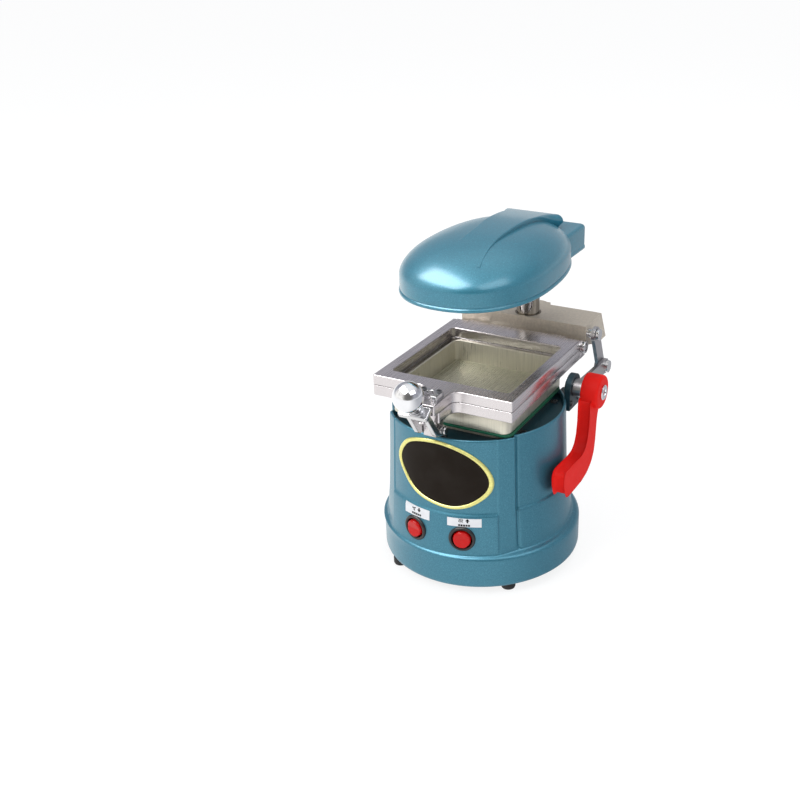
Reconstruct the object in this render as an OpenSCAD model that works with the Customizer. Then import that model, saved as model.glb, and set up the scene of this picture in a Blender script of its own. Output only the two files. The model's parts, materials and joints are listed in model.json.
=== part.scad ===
// Dental vacuum former: a round cast base with a vacuum chamber on top, a square
// clamping frame that rides on a rear post, a side lever that lifts it to the
// heater head, and the head that swings on the same post.
// Millimetres. X to the right, -Y to the front, Z up. The floor is Z = 0. The pieces
// are drawn round the axis of the base ring, and set down so that the centre of the
// whole footprint is the origin.

/* [Base casting] */
// radius of the bottom ring
ring_r = 94.5; // [90:0.5:100]
// height of the casting's lower edge over the floor
ring_z0 = 7; // [5:0.5:12]
// height of the ring's ledge
ring_z1 = 40; // [30:1:45]
// skirt radius just over the ledge
skirt_r0 = 88.5; // [84:0.5:92]
// skirt radius at its top
skirt_r1 = 84.5; // [80:0.5:88]
// height of the step between skirt and barrel
step_z = 79; // [60:1:100]
// barrel radius over the step
barrel_r0 = 82.5; // [78:0.5:86]
// barrel radius at the rim
barrel_r1 = 80; // [76:0.5:84]
// height of the rim
rim_z = 150.5; // [140:0.5:165]
// wall thickness of the casting
wall = 4; // [3:0.5:6]
// half angle of the raised front panel
panel_half = 48.7; // [40:0.1:55]
// how far the front panel stands out of the barrel
panel_out = 3.6; // [2:0.1:6]
// radius of the feet circle
feet_pcr = 82; // [70:1:86]
// foot radius
foot_r = 7; // [5:0.5:10]

/* [Front panel parts] */
// height of the two switches
switch_z = 55.6; // [48:0.5:62]
// angle of the left switch from the front
switch_left = 14.0; // [10:0.1:20]
// angle of the right switch from the front
switch_right = 16.2; // [10:0.1:20]
// radius of the switch body hole
switch_r = 10; // [9:0.1:11]
// radius of the round switch bezel
bezel_r = 12.2; // [11:0.1:14]
// radius of the rocker's seat
rocker_r = 8.8; // [7:0.1:9.5]
// lower edge of the two labels
label_z0 = 68; // [67:0.5:70]
// upper edge of the two labels
label_z1 = 75.8; // [70:0.1:78]
// thickness of the badge plate
badge_t = 1.0; // [0.5:0.1:2]
// thickness of the badge rim
trim_t = 1.7; // [1:0.1:3]

/* [Vacuum chamber] */
// top of the deck plate inside the rim
deck_z = 145; // [140:0.5:148]
// deck plate thickness
deck_t = 3; // [2:0.5:5]
// half width of the gasket
gasket_half = 62.5; // [60:0.5:66]
// top of the gasket, where the chamber stands
gasket_z = 153; // [150:0.5:156]
// gasket thickness
gasket_t = 2.4; // [2:0.1:5]
// outside half width of the chamber box
chamber_half = 57; // [50:0.5:60]
// wall of the chamber box
chamber_wall = 2.5; // [1.5:0.5:4]
// top of the chamber box
chamber_z1 = 181; // [176:0.5:184]
// top of the perforated tray
tray_z = 161; // [158:0.5:168]
// tray thickness
tray_t = 1.5; // [1:0.1:3]
// holes along each side of the tray
tray_holes = 9; // [5:1:11]
// diameter of a tray hole
tray_hole_d = 4; // [2:0.5:6]
// radius of the suction hole through the stack
outlet_r = 14; // [10:1:20]

/* [Clamping frame] */
// half width of the frame
frame_half = 67.6; // [64:0.1:72]
// front edge of the frame, from the centre
frame_front = 73.2; // [68:0.1:80]
// rear edge of the upper frame, from the centre
frame_rear = 88; // [84:0.5:92]
// half width of the square opening
open_half = 57.5; // [55:0.5:60]
// bottom of the lower frame
frame_z0 = 172.6; // [170:0.1:176]
// top of the upper frame
frame_z1 = 192; // [188:0.5:196]
// height of the split between the frames
split_z = 182.55; // [180:0.05:186]
// gap left for the sheet at the split
split_gap = 0.5; // [0.4:0.1:2]
// hinge axis behind the opening
hinge_y = 86; // [84:0.5:88]
// hinge pin radius
hinge_pin_r = 3; // [2:0.5:4]
// half width of the front lug
lug_half = 12.5; // [10:0.5:16]
// front of the upper lug
lug_front = 107.5; // [100:0.5:112]

/* [Front latch] */
// height of the ball's centre
ball_z = 206.6; // [200:0.1:212]
// distance of the ball's centre in front of the centre
ball_y = 127.1; // [120:0.1:135]
// ball radius
ball_r = 13.2; // [10:0.1:16]
// lean of the latch from upright
latch_lean = 35; // [20:1:45]
// distance of the latch pin in front of the centre
latch_pin_y = 88; // [84:0.5:92]
// height of the latch pin
latch_pin_z = 161; // [158:0.5:164]
// latch pin radius
latch_pin_r = 2; // [1.5:0.1:3]

/* [Post and carriage] */
// distance of the post behind the centre
post_y = 109; // [100:1:120]
// post radius
post_r = 11.4; // [9:0.1:14]
// top of the post
post_z1 = 288; // [280:1:300]
// distance of the guide rod behind the centre
rod_y = 134.5; // [130:0.5:140]
// guide rod radius
rod_r = 5; // [4:0.5:6]
// front face of the carriage
car_front = 94.5; // [92:0.5:100]
// rear face of the carriage
car_rear = 136; // [130:1:142]
// top of the carriage
car_z1 = 200.3; // [196:0.1:206]
// radial running clearance of pins and posts
run = 0.05; // [0.02:0.01:0.1]

/* [Lever and linkage] */
// distance of the lever shaft behind the centre
shaft_y = 48.5; // [44:0.5:54]
// height of the lever shaft
shaft_z = 158; // [154:0.5:162]
// shaft radius
shaft_r = 5; // [4:0.5:7]
// crank pin behind the centre, frame down
crank_pin_y = 116; // [110:0.5:122]
// crank pin height, frame down
crank_pin_z = 154; // [150:0.5:160]
// crank pin radius
crank_pin_r = 3; // [2:0.5:4]
// carriage stud behind the centre
stud_y = 99; // [96:0.5:102]
// carriage stud height, frame down
stud_z = 192.5; // [188:0.5:196]
// carriage stud radius
stud_r = 4; // [3:0.5:5]
// free play of the link's lower eye on the crank pin
link_play = 1.6; // [0.5:0.1:2.5]
// room between the barrel and the handle
handle_gap = 3.5; // [3:0.5:8]
// width of the handle boss
handle_w = 17; // [12:0.5:22]
// radius of the handle boss
handle_boss_r = 16; // [12:0.5:20]

/* [Heater head] */
// height of the head's lower edge
head_z0 = 263.6; // [255:0.1:275]
// half width of the oval head
head_a = 65; // [60:0.5:72]
// centre of the oval behind the base centre
head_yc = 9.4; // [0:0.1:20]
// reach of the oval to the front
head_bf = 86.1; // [75:0.1:95]
// reach of the oval to the rear
head_br = 119; // [105:0.5:125]
// height of the straight rim
head_side = 15.9; // [12:0.1:22]
// height of the dome over the rim
head_dome = 28.7; // [20:0.1:36]
// squareness of the oval
head_pow = 2.24; // [2:0.02:3]
// wall of the head
head_wall = 3; // [2:0.5:5]
// half width of the rear box
tail_half = 47; // [40:1:55]
// rear face of the rear box
tail_rear = 139.5; // [130:0.5:145]
// top of the rear box
tail_z1 = 287; // [280:1:292]
// reflector dish radius
dish_r = 55; // [48:1:58]

/* [Hidden] */
$fn = 48;
split_lo = split_z - split_gap/2;
split_hi = split_z + split_gap/2;
hinge_z = split_hi + 0.2;
dir_y = sin(latch_lean);
dir_z = cos(latch_lean);
barrel_k = (barrel_r0 - barrel_r1)/(rim_z - step_z - 1);
table_half = 55;
table_z0 = deck_z;
// the switches' flange seat and rocker axis, in front of the base's axis
bezel_y = 87.6;
rocker_y = 87.4;
// the side linkage stands off the barrel, from the handle inwards
handle_x0 = max(barrel_r0, barrel_r1) + handle_gap;
handle_x1 = handle_x0 + handle_w;
crank_x1 = handle_x0 - 5;
crank_x0 = crank_x1 - 4;
link_x1 = crank_x0 - 0.4;
link_x0 = link_x1 - 3.6;
plate_x = link_x0 - 6;
tab_x1 = handle_x0 - 10.4;
tab_x0 = tab_x1 - 5.6;
hub_x0 = tab_x1 + 0.4;
// the footprint's centre, from the handle cap, the ring, the ball and the end plate
plate_rear = 150.5;
shift_x = (ring_r - handle_x1 - 2)/2;
shift_y = (ball_y + ball_r - plate_rear)/2;
lower_lug = 99.5;
deck_r = barrel_r1 - 3.5;
// the flat at the rear where the post bracket is bolted on
mount_y = max(barrel_r0, barrel_r1) - 2.5;

// a square plate with round corners, half width h, corner radius r
module rsq(h, r, z0, z1) {
    translate([-h, -h + r, z0]) cube([2*h, 2*h - 2*r, z1 - z0]);
    translate([-h + r, -h, z0]) cube([2*h - 2*r, 2*h, z1 - z0]);
    for (sx = [-1, 1], sy = [-1, 1])
        translate([sx*(h - r), sy*(h - r), z0]) cylinder(r = r, h = z1 - z0);
}

// a block between two corners
module box(x0, x1, y0, y1, z0, z1) {
    translate([x0, y0, z0]) cube([x1 - x0, y1 - y0, z1 - z0]);
}

// a cylinder along X at (y, z)
module xcyl(r, x0, x1, y, z) {
    translate([x0, y, z]) rotate([0, 90, 0]) cylinder(r = r, h = x1 - x0);
}

// the wedge of plan that lies between two angles from the front
module wedge(a0, a1, r, z0, z1) {
    am = (a0 + a1)/2;
    translate([0, 0, z0]) linear_extrude(z1 - z0)
        polygon([[0, 0], [r*sin(a0), -r*cos(a0)], [r*1.3*sin(am), -r*1.3*cos(am)],
            [r*sin(a1), -r*cos(a1)]]);
}

// radius of the front panel at a height over the step
function panel_r(z) = barrel_r1 + panel_out + (rim_z - z)*barrel_k;
// radius of the lower front panel at a height under the step
function lower_r(z) = skirt_r1 + panel_out - 0.6 + (step_z - z)*0.07;

// puts a piece down in the frame whose origin is the footprint's centre
module set_down() translate([shift_x, shift_y, 0]) children();

module body_shell() {
    rotate_extrude($fn = 120) polygon([
        [ring_r - 3, ring_z0], [ring_r - 0.5, ring_z0 + 2.5], [ring_r, ring_z0 + 5],
        [ring_r, ring_z1 - 6], [ring_r - 1, ring_z1 - 2.5], [ring_r - 4, ring_z1],
        [skirt_r0, ring_z1 + 0.5], [skirt_r1, step_z - 2], [barrel_r0, step_z + 1],
        [barrel_r1, rim_z - 1], [barrel_r1 - 0.8, rim_z], [deck_r + 0.1, rim_z],
        [deck_r + 0.1, deck_z - deck_t], [deck_r - 3.5, deck_z - deck_t],
        [deck_r - 3.5, deck_z - deck_t - 4],
        [barrel_r1 - wall + 0.6, deck_z - deck_t - 9], [barrel_r0 - wall, step_z],
        [skirt_r1 - wall, step_z - 3], [skirt_r0 - wall, ring_z1 + 1],
        [ring_r - wall - 0.5, ring_z1 - 5], [ring_r - wall - 0.5, ring_z0]]);
}

module panel_solid() {
    intersection() {
        rotate_extrude($fn = 120) polygon([
            [barrel_r1 - 1.5, rim_z], [panel_r(rim_z) - 0.8, rim_z],
            [panel_r(rim_z - 1), rim_z - 1], [panel_r(step_z + 1), step_z + 1],
            [lower_r(step_z - 3), step_z - 3], [lower_r(ring_z1), ring_z1 - 0.5],
            [skirt_r0 - 2, ring_z1 - 0.5], [skirt_r1 - 2, step_z - 3],
            [barrel_r0 - 2, step_z]]);
        wedge(-panel_half, panel_half, 130, ring_z1 - 1, rim_z + 1);
    }
}

// places a part of a switch: local -Y points out of the panel
module at_switch(a) {
    rotate([0, 0, a]) translate([0, 0, switch_z]) children();
}

module body() color([0.13, 0.37, 0.47]) set_down() difference() {
    union() {
        body_shell();
        panel_solid();
        // flat pad for the inlet
        intersection() {
            box(-24, 24, 78, 88.5, 44, 68);
            cylinder(r = 120, h = 200);
        }
    }
    for (a = [-switch_left, switch_right]) at_switch(a) {
        rotate([90, 0, 0]) cylinder(r = switch_r + 0.1, h = 120);
        translate([0, -bezel_y, 0]) rotate([90, 0, 0]) cylinder(r = bezel_r + 0.1, h = 20);
    }
    box(-12, 12, 60, 100, 48, 64);
    for (a = [45:90:315]) rotate([0, 0, a]) translate([ring_r - 24, 0, ring_z0 - 1]) cylinder(r = 1.6, h = 2);
}

module base_plate() color([0.16, 0.17, 0.18]) set_down() difference() {
    translate([0, 0, ring_z0]) cylinder(r = ring_r - wall - 0.6, h = 2.3, $fn = 96);
    for (i = [-3:3]) box(-30, 30, i*9 - 2, i*9 + 2, ring_z0 - 1, ring_z0 + 4);
}

module base_screws() color([0.7, 0.7, 0.72]) set_down() for (a = [45:90:315]) rotate([0, 0, a]) translate([ring_r - 24, 0, ring_z0 - 2]) cylinder(r = 3.6, h = 2);

module feet() color([0.05, 0.05, 0.05]) set_down() for (a = [-35, 43.8, 145, 223.8]) rotate([0, 0, a]) translate([0, -feet_pcr, 0]) {
        cylinder(r1 = foot_r - 1, r2 = foot_r, h = 2.5);
        translate([0, 0, 2.5]) cylinder(r = foot_r, h = ring_z0 - 2.5);
    }

module top_deck() color([0.06, 0.09, 0.10]) set_down() difference() {
    translate([0, 0, deck_z - deck_t]) cylinder(r = deck_r, h = deck_t, $fn = 96);
    translate([0, 0, deck_z - 10]) cylinder(r = outlet_r, h = 20);
}

module deck_screws() color([0.5, 0.5, 0.52]) set_down() for (a = [30:60:330]) rotate([0, 0, a]) translate([deck_r - 6.5, 0, deck_z])
        difference() {
            cylinder(r = 3, h = 2);
            translate([0, 0, 0.8]) cylinder(r = 1.3, h = 2, $fn = 6);
        }

module vacuum_table() color([0.55, 0.56, 0.58]) set_down() difference() {
    rsq(table_half, 16, table_z0, gasket_z - gasket_t);
    translate([0, 0, table_z0 - 1]) cylinder(r = outlet_r, h = 20);
}

module gasket() color([0.02, 0.33, 0.18]) set_down() difference() {
    rsq(gasket_half, 22, gasket_z - gasket_t, gasket_z);
    translate([0, 0, gasket_z - gasket_t - 1]) cylinder(r = outlet_r, h = 20);
}

module chamber() color([0.78, 0.77, 0.73]) set_down() difference() {
    rsq(chamber_half, 8, gasket_z, chamber_z1);
    rsq(chamber_half - chamber_wall, 5.5, tray_z - tray_t, chamber_z1 + 1);
    rsq(chamber_half - chamber_wall - 2.5, 4, gasket_z + 3.5, tray_z + 1);
    translate([0, 0, gasket_z - 1]) cylinder(r = outlet_r, h = 6);
}

module tray() color([0.62, 0.60, 0.53]) set_down() difference() {
    rsq(chamber_half - chamber_wall - 0.4, 5.1, tray_z - tray_t, tray_z);
    n = (tray_holes - 1)/2;
    for (i = [-n:n], j = [-n:n])
        translate([i*11, j*11, tray_z - 4]) cylinder(d = tray_hole_d, h = 8, $fn = 16);
}

module impeller_housing() color([0.3, 0.3, 0.32]) set_down() difference() {
    translate([0, 0, 104]) cylinder(r = 58, h = deck_z - deck_t - 104);
    translate([0, 0, 107]) cylinder(r = 55, h = deck_z - deck_t - 110);
    translate([0, 0, 130]) cylinder(r = outlet_r, h = 20);
    translate([0, 0, 100]) cylinder(r = 5, h = 10);
    for (a = [20:40:340]) rotate([0, 0, a]) box(50, 62, -7, 7, 110, 116);
}

module vacuum_motor() color([0.45, 0.46, 0.48]) set_down() {
    translate([0, 0, 96]) cylinder(r = 50, h = 8);
    translate([0, 0, 40]) cylinder(r = 44, h = 56);
    translate([0, 0, 30]) cylinder(r = 26, h = 10);
    // shaft and fan hub inside the housing
    translate([0, 0, 104]) cylinder(r = 4, h = 20);
    translate([0, 0, 112]) cylinder(r = 46, h = 9);
}

// outline of the badge seen from the front, as angle and height pairs
badge_pts = [[-30.2, 120.1], [-23.9, 137], [-12.2, 145.1], [3.2, 147.1], [18.2, 140.4],
    [29.2, 128.1], [34.7, 112.8], [32.6, 100.1], [22.5, 88.3], [11.7, 83.8],
    [-0.6, 85.3], [-13.8, 91.4], [-23.3, 103.2]];
badge_c = [2.5, 115.5];
function bp(i) = badge_pts[(i + 2*len(badge_pts)) % len(badge_pts)];
function spline(a, b, c, d, t) = 0.5*((2*b) + (c - a)*t + (2*a - 5*b + 4*c - d)*t*t
    + (3*b - a - 3*c + d)*t*t*t);
function badge_curve(k) = [for (i = [0:len(badge_pts) - 1], t = [0:0.25:0.8])
    let (p = spline(bp(i - 1), bp(i), bp(i + 1), bp(i + 2), t))
    let (q = badge_c + k*(p - badge_c))
    [85.2*sin(q[0]), q[1]]];

module badge_slab(k, t) {
    intersection() {
        rotate_extrude($fn = 120) polygon([
            [panel_r(step_z + 1), step_z + 1], [panel_r(step_z + 1) + t, step_z + 1],
            [panel_r(rim_z - 1) + t, rim_z - 1], [panel_r(rim_z - 1), rim_z - 1]]);
        translate([0, -60, 0]) rotate([90, 0, 0]) linear_extrude(40) polygon(badge_curve(k));
    }
}

module badge() color([0.07, 0.04, 0.04]) set_down() badge_slab(0.95, badge_t);

module badge_trim() color([0.85, 0.74, 0.22]) set_down() difference() {
    badge_slab(1, trim_t);
    translate([0, -60, 0]) rotate([90, 0, 0]) linear_extrude(60) polygon(badge_curve(0.95));
}

module label_slab(a0, a1) intersection() {
    rotate_extrude($fn = 120) polygon([
        [lower_r(label_z0), label_z0], [lower_r(label_z0) + 0.4, label_z0],
        [lower_r(label_z1) + 0.4, label_z1], [lower_r(label_z1), label_z1]]);
    wedge(a0, a1, 130, label_z0 - 1, label_z1 + 1);
}

module label_vacuum() color([0.93, 0.93, 0.93]) set_down() label_slab(-22.6, -3.7);

module label_heat() color([0.93, 0.93, 0.93]) set_down() label_slab(7.6, 27.5);

module bezel() difference() {
    union() {
        translate([0, -bezel_y, 0]) rotate([90, 0, 0]) cylinder(r = bezel_r, h = 3.6);
        translate([0, -72, 0]) rotate([90, 0, 0]) cylinder(r = switch_r, h = bezel_y - 72);
    }
    translate([0, -76, 0]) rotate([90, 0, 0]) cylinder(r = rocker_r + 0.4, h = 20);
    xcyl(1 + run, -rocker_r - 1.1, rocker_r + 1.1, -rocker_y, 0);
}

module bezel_vacuum() color([0.03, 0.03, 0.03]) set_down() at_switch(-switch_left) bezel();

module bezel_heat() color([0.03, 0.03, 0.03]) set_down() at_switch(switch_right) bezel();

// a round cap whose face dips along the middle, on a pivot pin
module rocker() {
    intersection() {
        translate([0, -rocker_y + 3, 0]) rotate([90, 0, 0]) cylinder(r = rocker_r - 1, h = 12);
        translate([-12, 0, 0]) rotate([90, 0, 90]) linear_extrude(24)
            polygon([[-rocker_y + 3.5, -9], [-rocker_y + 3.5, 9], [-rocker_y - 5.9, 9],
                [-rocker_y - 4.7, 0], [-rocker_y - 5.9, -9]]);
    }
    xcyl(1, -rocker_r - 0.9, rocker_r + 0.9, -rocker_y, 0);
}

module rocker_vacuum() color([0.85, 0.09, 0.07]) set_down() at_switch(-switch_left) rocker();

module rocker_heat() color([0.85, 0.09, 0.07]) set_down() at_switch(switch_right) rocker();

module power_inlet() color([0.04, 0.04, 0.04]) set_down() difference() {
    union() {
        box(-20, 20, 88.5, 90.7, 46, 66);
        box(-11.9, 11.9, 70, 88.5, 48.1, 63.9);
    }
    box(-10, 10, 74, 92, 50, 62);
}

module inlet_pins() color([0.8, 0.75, 0.5]) set_down() for (p = [[-6, 54.5], [0, 58], [6, 54.5]])
        box(p[0] - 0.9, p[0] + 0.9, 74, 84, p[1] - 2, p[1] + 2);

module post_bracket() color([0.13, 0.37, 0.47]) set_down() difference() {
    union() {
        box(-22, 22, mount_y - 8, post_y + 13, 88, 136);
        translate([0, post_y, 88]) cylinder(r = 22, h = 48);
        box(-10, 10, post_y + 11, rod_y + 7.5, 88, 136);
        translate([0, rod_y, 88]) cylinder(r = 11, h = 48);
        box(-40, 40, mount_y - 14, mount_y, 92, 132);
    }
    translate([0, 0, step_z + 1]) cylinder(r1 = barrel_r0 + 0.05, r2 = barrel_r1 + 0.05,
        h = rim_z - step_z - 2, $fn = 120);
    translate([0, post_y, 80]) cylinder(r = post_r, h = 80);
    translate([0, rod_y, 80]) cylinder(r = rod_r, h = 80);
}

module bracket_bolts() color([0.7, 0.7, 0.72]) set_down() for (s = [-1, 1], z = [100, 124]) translate([s*33, mount_y, z]) rotate([-90, 0, 0])
        difference() {
            cylinder(r = 4.5, h = 4);
            translate([0, 0, 2]) cylinder(r = 2.4, h = 4, $fn = 6);
        }

module post() color([0.85, 0.86, 0.88]) set_down() translate([0, post_y, 84]) cylinder(r = post_r, h = post_z1 - 84);

module guide_rod() color([0.8, 0.81, 0.83]) set_down() translate([0, rod_y, 88]) cylinder(r = rod_r, h = 108);

module carriage() color([0.66, 0.66, 0.67]) set_down() difference() {
    union() {
        box(-66, plate_x - 5, car_front, car_rear, split_lo, car_z1);
        translate([0, post_y, 160]) cylinder(r = 19, h = car_z1 - 160);
        box(-10, 10, 120, 142, 158, car_z1);
        translate([0, rod_y, 150]) cylinder(r = 9.5, h = car_z1 - 150);
        // end plate that carries the link stud
        translate([plate_x - 5, 0, 0]) rotate([90, 0, 90]) linear_extrude(5)
            polygon([[car_front, car_z1], [car_rear - 0.5, car_z1], [plate_rear, 171],
                [128.5, 171], [car_front, 181.5]]);
    }
    translate([0, post_y, 150]) cylinder(r = 13, h = 60);
    // flat that keeps the boss flush with the front face
    box(-20, 20, post_y - 20, car_front, split_lo, car_z1 + 1);
    translate([0, rod_y, 140]) cylinder(r = rod_r + run, h = 57.5);
}

module carriage_bush() color([0.72, 0.55, 0.25]) set_down() difference() {
    translate([0, post_y, 160]) cylinder(r = 13, h = car_z1 - 160);
    translate([0, post_y, 150]) cylinder(r = post_r + run, h = 60);
}

module frame_screws() color([0.7, 0.7, 0.72]) set_down() for (s = [-1, 1], y = [97, 121]) translate([s*28, y, frame_z0 - 3]) difference() {
        cylinder(r = 4, h = 3);
        translate([0, 0, -1]) cylinder(r = 2, h = 3, $fn = 6);
    }

module frame_lower() color([0.80, 0.80, 0.79]) set_down() difference() {
    union() {
        box(-frame_half, frame_half, -frame_front, 79.5, frame_z0, split_lo);
        // lug and the ear that holds the latch pin
        box(-lug_half, lug_half, -lower_lug, -frame_front, frame_z0, split_lo);
        box(-6, 6, -94, -80, 155.5, frame_z0);
        // arms under the carriage
        box(-34, 34, 79.5, 127, frame_z0, split_lo);
        for (s = [0, 1]) mirror([s, 0, 0]) {
            box(53, frame_half, 79.8, hinge_y + 6, frame_z0, hinge_z);
            box(53, frame_half, 79, 80, frame_z0, split_lo);
            xcyl(6, 53, frame_half, hinge_y, hinge_z);
        }
    }
    rsq(open_half, 4, frame_z0 - 1, split_lo + 1);
    // groove for the seal
    difference() {
        rsq(63.5, 8, split_lo - 0.8, split_lo + 1);
        rsq(59.5, 5, split_lo - 2, split_lo + 2);
    }
    xcyl(hinge_pin_r, -80, 80, hinge_y, hinge_z);
    box(-34.5, 34.5, hinge_y - 3.4, hinge_y + 3.4, hinge_z - 3.4, split_lo + 1);
    translate([0, post_y, frame_z0 - 1]) cylinder(r = 19.3, h = 20);
    box(-10.3, 10.3, post_y, 130, frame_z0 - 1, split_lo + 1);
    xcyl(latch_pin_r, -20, 20, -latch_pin_y, latch_pin_z);
}

module sheet_seal() color([0.06, 0.06, 0.06]) set_down() difference() {
    rsq(63.5, 8, split_lo - 0.8, split_lo + 0.2);
    rsq(59.5, 5, split_lo - 2, split_lo + 2);
}

module frame_upper() color([0.82, 0.82, 0.81]) set_down() difference() {
    union() {
        box(-frame_half, frame_half, -frame_front, frame_rear, split_hi, frame_z1);
        box(-lug_half, lug_half, -lug_front, -frame_front, split_hi, frame_z1);
        for (s = [0, 1]) mirror([s, 0, 0]) difference() {
            box(lug_half, lug_half + 8, -frame_front - 8, -frame_front + 1, split_hi, frame_z1);
            translate([lug_half + 8, -frame_front - 8, split_hi - 1]) cylinder(r = 8, h = 20);
        }
        for (s = [0, 1]) mirror([s, 0, 0]) xcyl(6, 38.4, 51.6, hinge_y, hinge_z);
    }
    rsq(open_half, 4, split_hi - 1, frame_z1 + 1);
    for (s = [0, 1]) mirror([s, 0, 0]) xcyl(6.4, 52.6, 80, hinge_y, hinge_z);
    xcyl(hinge_pin_r + run, -frame_half - 1, frame_half + 1, hinge_y, hinge_z);
    box(-38, 38, hinge_y - 3.4, frame_rear + 1, split_hi - 1, hinge_z + 3.4);
}

module hinge_pin() color([0.75, 0.75, 0.77]) set_down() {
    xcyl(hinge_pin_r, -frame_half, frame_half + 2, hinge_y, hinge_z);
    xcyl(5, -frame_half - 2, -frame_half, hinge_y, hinge_z);
    difference() {
        xcyl(6, frame_half, frame_half + 3.4, hinge_y, hinge_z);
        xcyl(4, frame_half + 2, frame_half + 5, hinge_y, hinge_z);
    }
    xcyl(3, frame_half + 1, frame_half + 3, hinge_y, hinge_z);
}

module lug_strike() color([0.78, 0.78, 0.78]) set_down() difference() {
    box(-10, 10, -99, -85, frame_z1, frame_z1 + 4.5);
    // open slot for the latch stud
    box(-4.2, 4.2, -100, -92, frame_z1 - 1, frame_z1 + 6);
    translate([0, -92, frame_z1 - 1]) cylinder(r = 4.2, h = 8);
}

module strike_screws() color([0.35, 0.35, 0.37]) set_down() for (s = [-1, 1]) translate([s*7.2, -89, frame_z1 + 4.5]) difference() {
        cylinder(r = 2.4, h = 1.6);
        translate([0, 0, 0.6]) cylinder(r = 1.2, h = 2, $fn = 6);
    }

module latch_pin() color([0.7, 0.7, 0.72]) set_down() {
    xcyl(latch_pin_r, -12.6, 12.6, -latch_pin_y, latch_pin_z);
    for (s = [0, 1]) mirror([s, 0, 0]) xcyl(3.4, 11.1, 12.9, -latch_pin_y, latch_pin_z);
}

// turns children into the latch's own axes: local +Z runs up the stud to the ball
module at_latch() translate([0, -ball_y, ball_z]) rotate([latch_lean, 0, 0]) children();

// side view of one latch leg, from the bridge down to the eye on the pin
module leg_side() {
    translate([-latch_pin_y, latch_pin_z]) circle(r = 4.6);
    polygon([[-114.2, 190.1], [-97.5, 166.5], [-94.5, 164.6], [-latch_pin_y, latch_pin_z + 3.4],
        [-latch_pin_y, latch_pin_z - 3.6], [-97.5, 158.8], [-101.4, 160.9], [-118.8, 186.9]]);
}

module latch_yoke() color([0.86, 0.86, 0.87]) set_down() difference() {
    union() {
        at_latch() {
            box(-13.5, 13.5, -8.5, 3.6, -22.5, -18);
            box(-11, 11, -6.4, 2.8, -26, -22.5);
        }
        for (x = [6.5, -10.5]) translate([x, 0, 0]) rotate([90, 0, 90])
            linear_extrude(4) leg_side();
    }
    xcyl(latch_pin_r + run, -11, 11, -latch_pin_y, latch_pin_z);
    at_latch() translate([0, 0, -30]) cylinder(r = 3.5 + run, h = 14);
}

module knob() color([0.9, 0.9, 0.92]) set_down() at_latch() {
    sphere(r = ball_r);
    translate([0, 0, -27.4]) cylinder(r = 3.5, h = 19);
    translate([0, 0, -17.6]) cylinder(r = 6, h = 6);
    translate([0, 0, -27.4]) cylinder(r = 4, h = 1.2);
}

module lever_bracket() color([0.05, 0.13, 0.17]) set_down() difference() {
    union() {
        xcyl(13, tab_x0, tab_x1, shaft_y, shaft_z);
        box(tab_x0, tab_x1, shaft_y - 13, shaft_y + 13, 141, shaft_z);
        box(tab_x0 - 12, tab_x1, shaft_y - 13, shaft_y + 13, 138, 149.5);
    }
    translate([0, 0, step_z + 1]) cylinder(r1 = barrel_r0 + 0.05, r2 = barrel_r1 + 0.05,
        h = rim_z - step_z - 2, $fn = 120);
    box(tab_x0 - 15, tab_x1 + 1, 30, 66, 130, 138.5);
    xcyl(shaft_r + run, tab_x0 - 10, handle_x0, shaft_y, shaft_z);
}

module lever_screws() color([0.5, 0.5, 0.52]) set_down() for (s = [-1, 1]) xcyl(2.8, tab_x1, tab_x1 + 1.2, shaft_y + s*8.5, 144.5);

module lever_shaft() color([0.3, 0.3, 0.3]) set_down() {
    xcyl(shaft_r, tab_x0 - 2, handle_x1 - 1, shaft_y, shaft_z);
    xcyl(8, tab_x0 - 2.1, tab_x0 - 0.3, shaft_y, shaft_z);
}

// plan of the crank arm, seen from the right
module crank_arm() {
    translate([shaft_y, shaft_z]) circle(r = 8.5);
    translate([crank_pin_y, crank_pin_z]) circle(r = 7.5);
    polygon([[shaft_y + 2, shaft_z + 6], [crank_pin_y, crank_pin_z + 7],
        [crank_pin_y, crank_pin_z - 7], [shaft_y + 2, shaft_z - 7]]);
}

module crank() color([0.60, 0.61, 0.63]) set_down() difference() {
    union() {
        xcyl(8.5, hub_x0, crank_x0, shaft_y, shaft_z);
        translate([crank_x0, 0, 0]) rotate([90, 0, 90])
            linear_extrude(crank_x1 - crank_x0) crank_arm();
        xcyl(8.5, crank_x1, handle_x0, shaft_y, shaft_z);
    }
    xcyl(shaft_r, tab_x0, handle_x0 + 4, shaft_y, shaft_z);
    xcyl(crank_pin_r, tab_x0, handle_x0 + 4, crank_pin_y, crank_pin_z);
}

module crank_bolt() color([0.72, 0.72, 0.74]) set_down() {
    xcyl(crank_pin_r, link_x0 - 2.4, crank_x1 + 1, crank_pin_y, crank_pin_z);
    xcyl(6, crank_x1, crank_x1 + 3.2, crank_pin_y, crank_pin_z);
    xcyl(6.4, link_x0 - 2.2, link_x0 - 0.3, crank_pin_y, crank_pin_z);
}

// the link's plate seen from the right
module link_side() {
    translate([stud_y, stud_z]) circle(r = 7.4);
    translate([crank_pin_y, crank_pin_z]) circle(r = 8);
    polygon([[stud_y - 6.4, stud_z - 2.8], [stud_y + 6.4, stud_z + 2.8],
        [crank_pin_y + 6.4, crank_pin_z + 2.8], [crank_pin_y - 6.4, crank_pin_z - 2.8]]);
}

module link() color([0.62, 0.63, 0.65]) set_down() difference() {
    translate([link_x0, 0, 0]) rotate([90, 0, 90]) linear_extrude(link_x1 - link_x0) link_side();
    xcyl(stud_r + run, link_x0 - 2, link_x1 + 2, stud_y, stud_z);
    xcyl(crank_pin_r + link_play, link_x0 - 2, link_x1 + 2, crank_pin_y, crank_pin_z);
}

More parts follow.
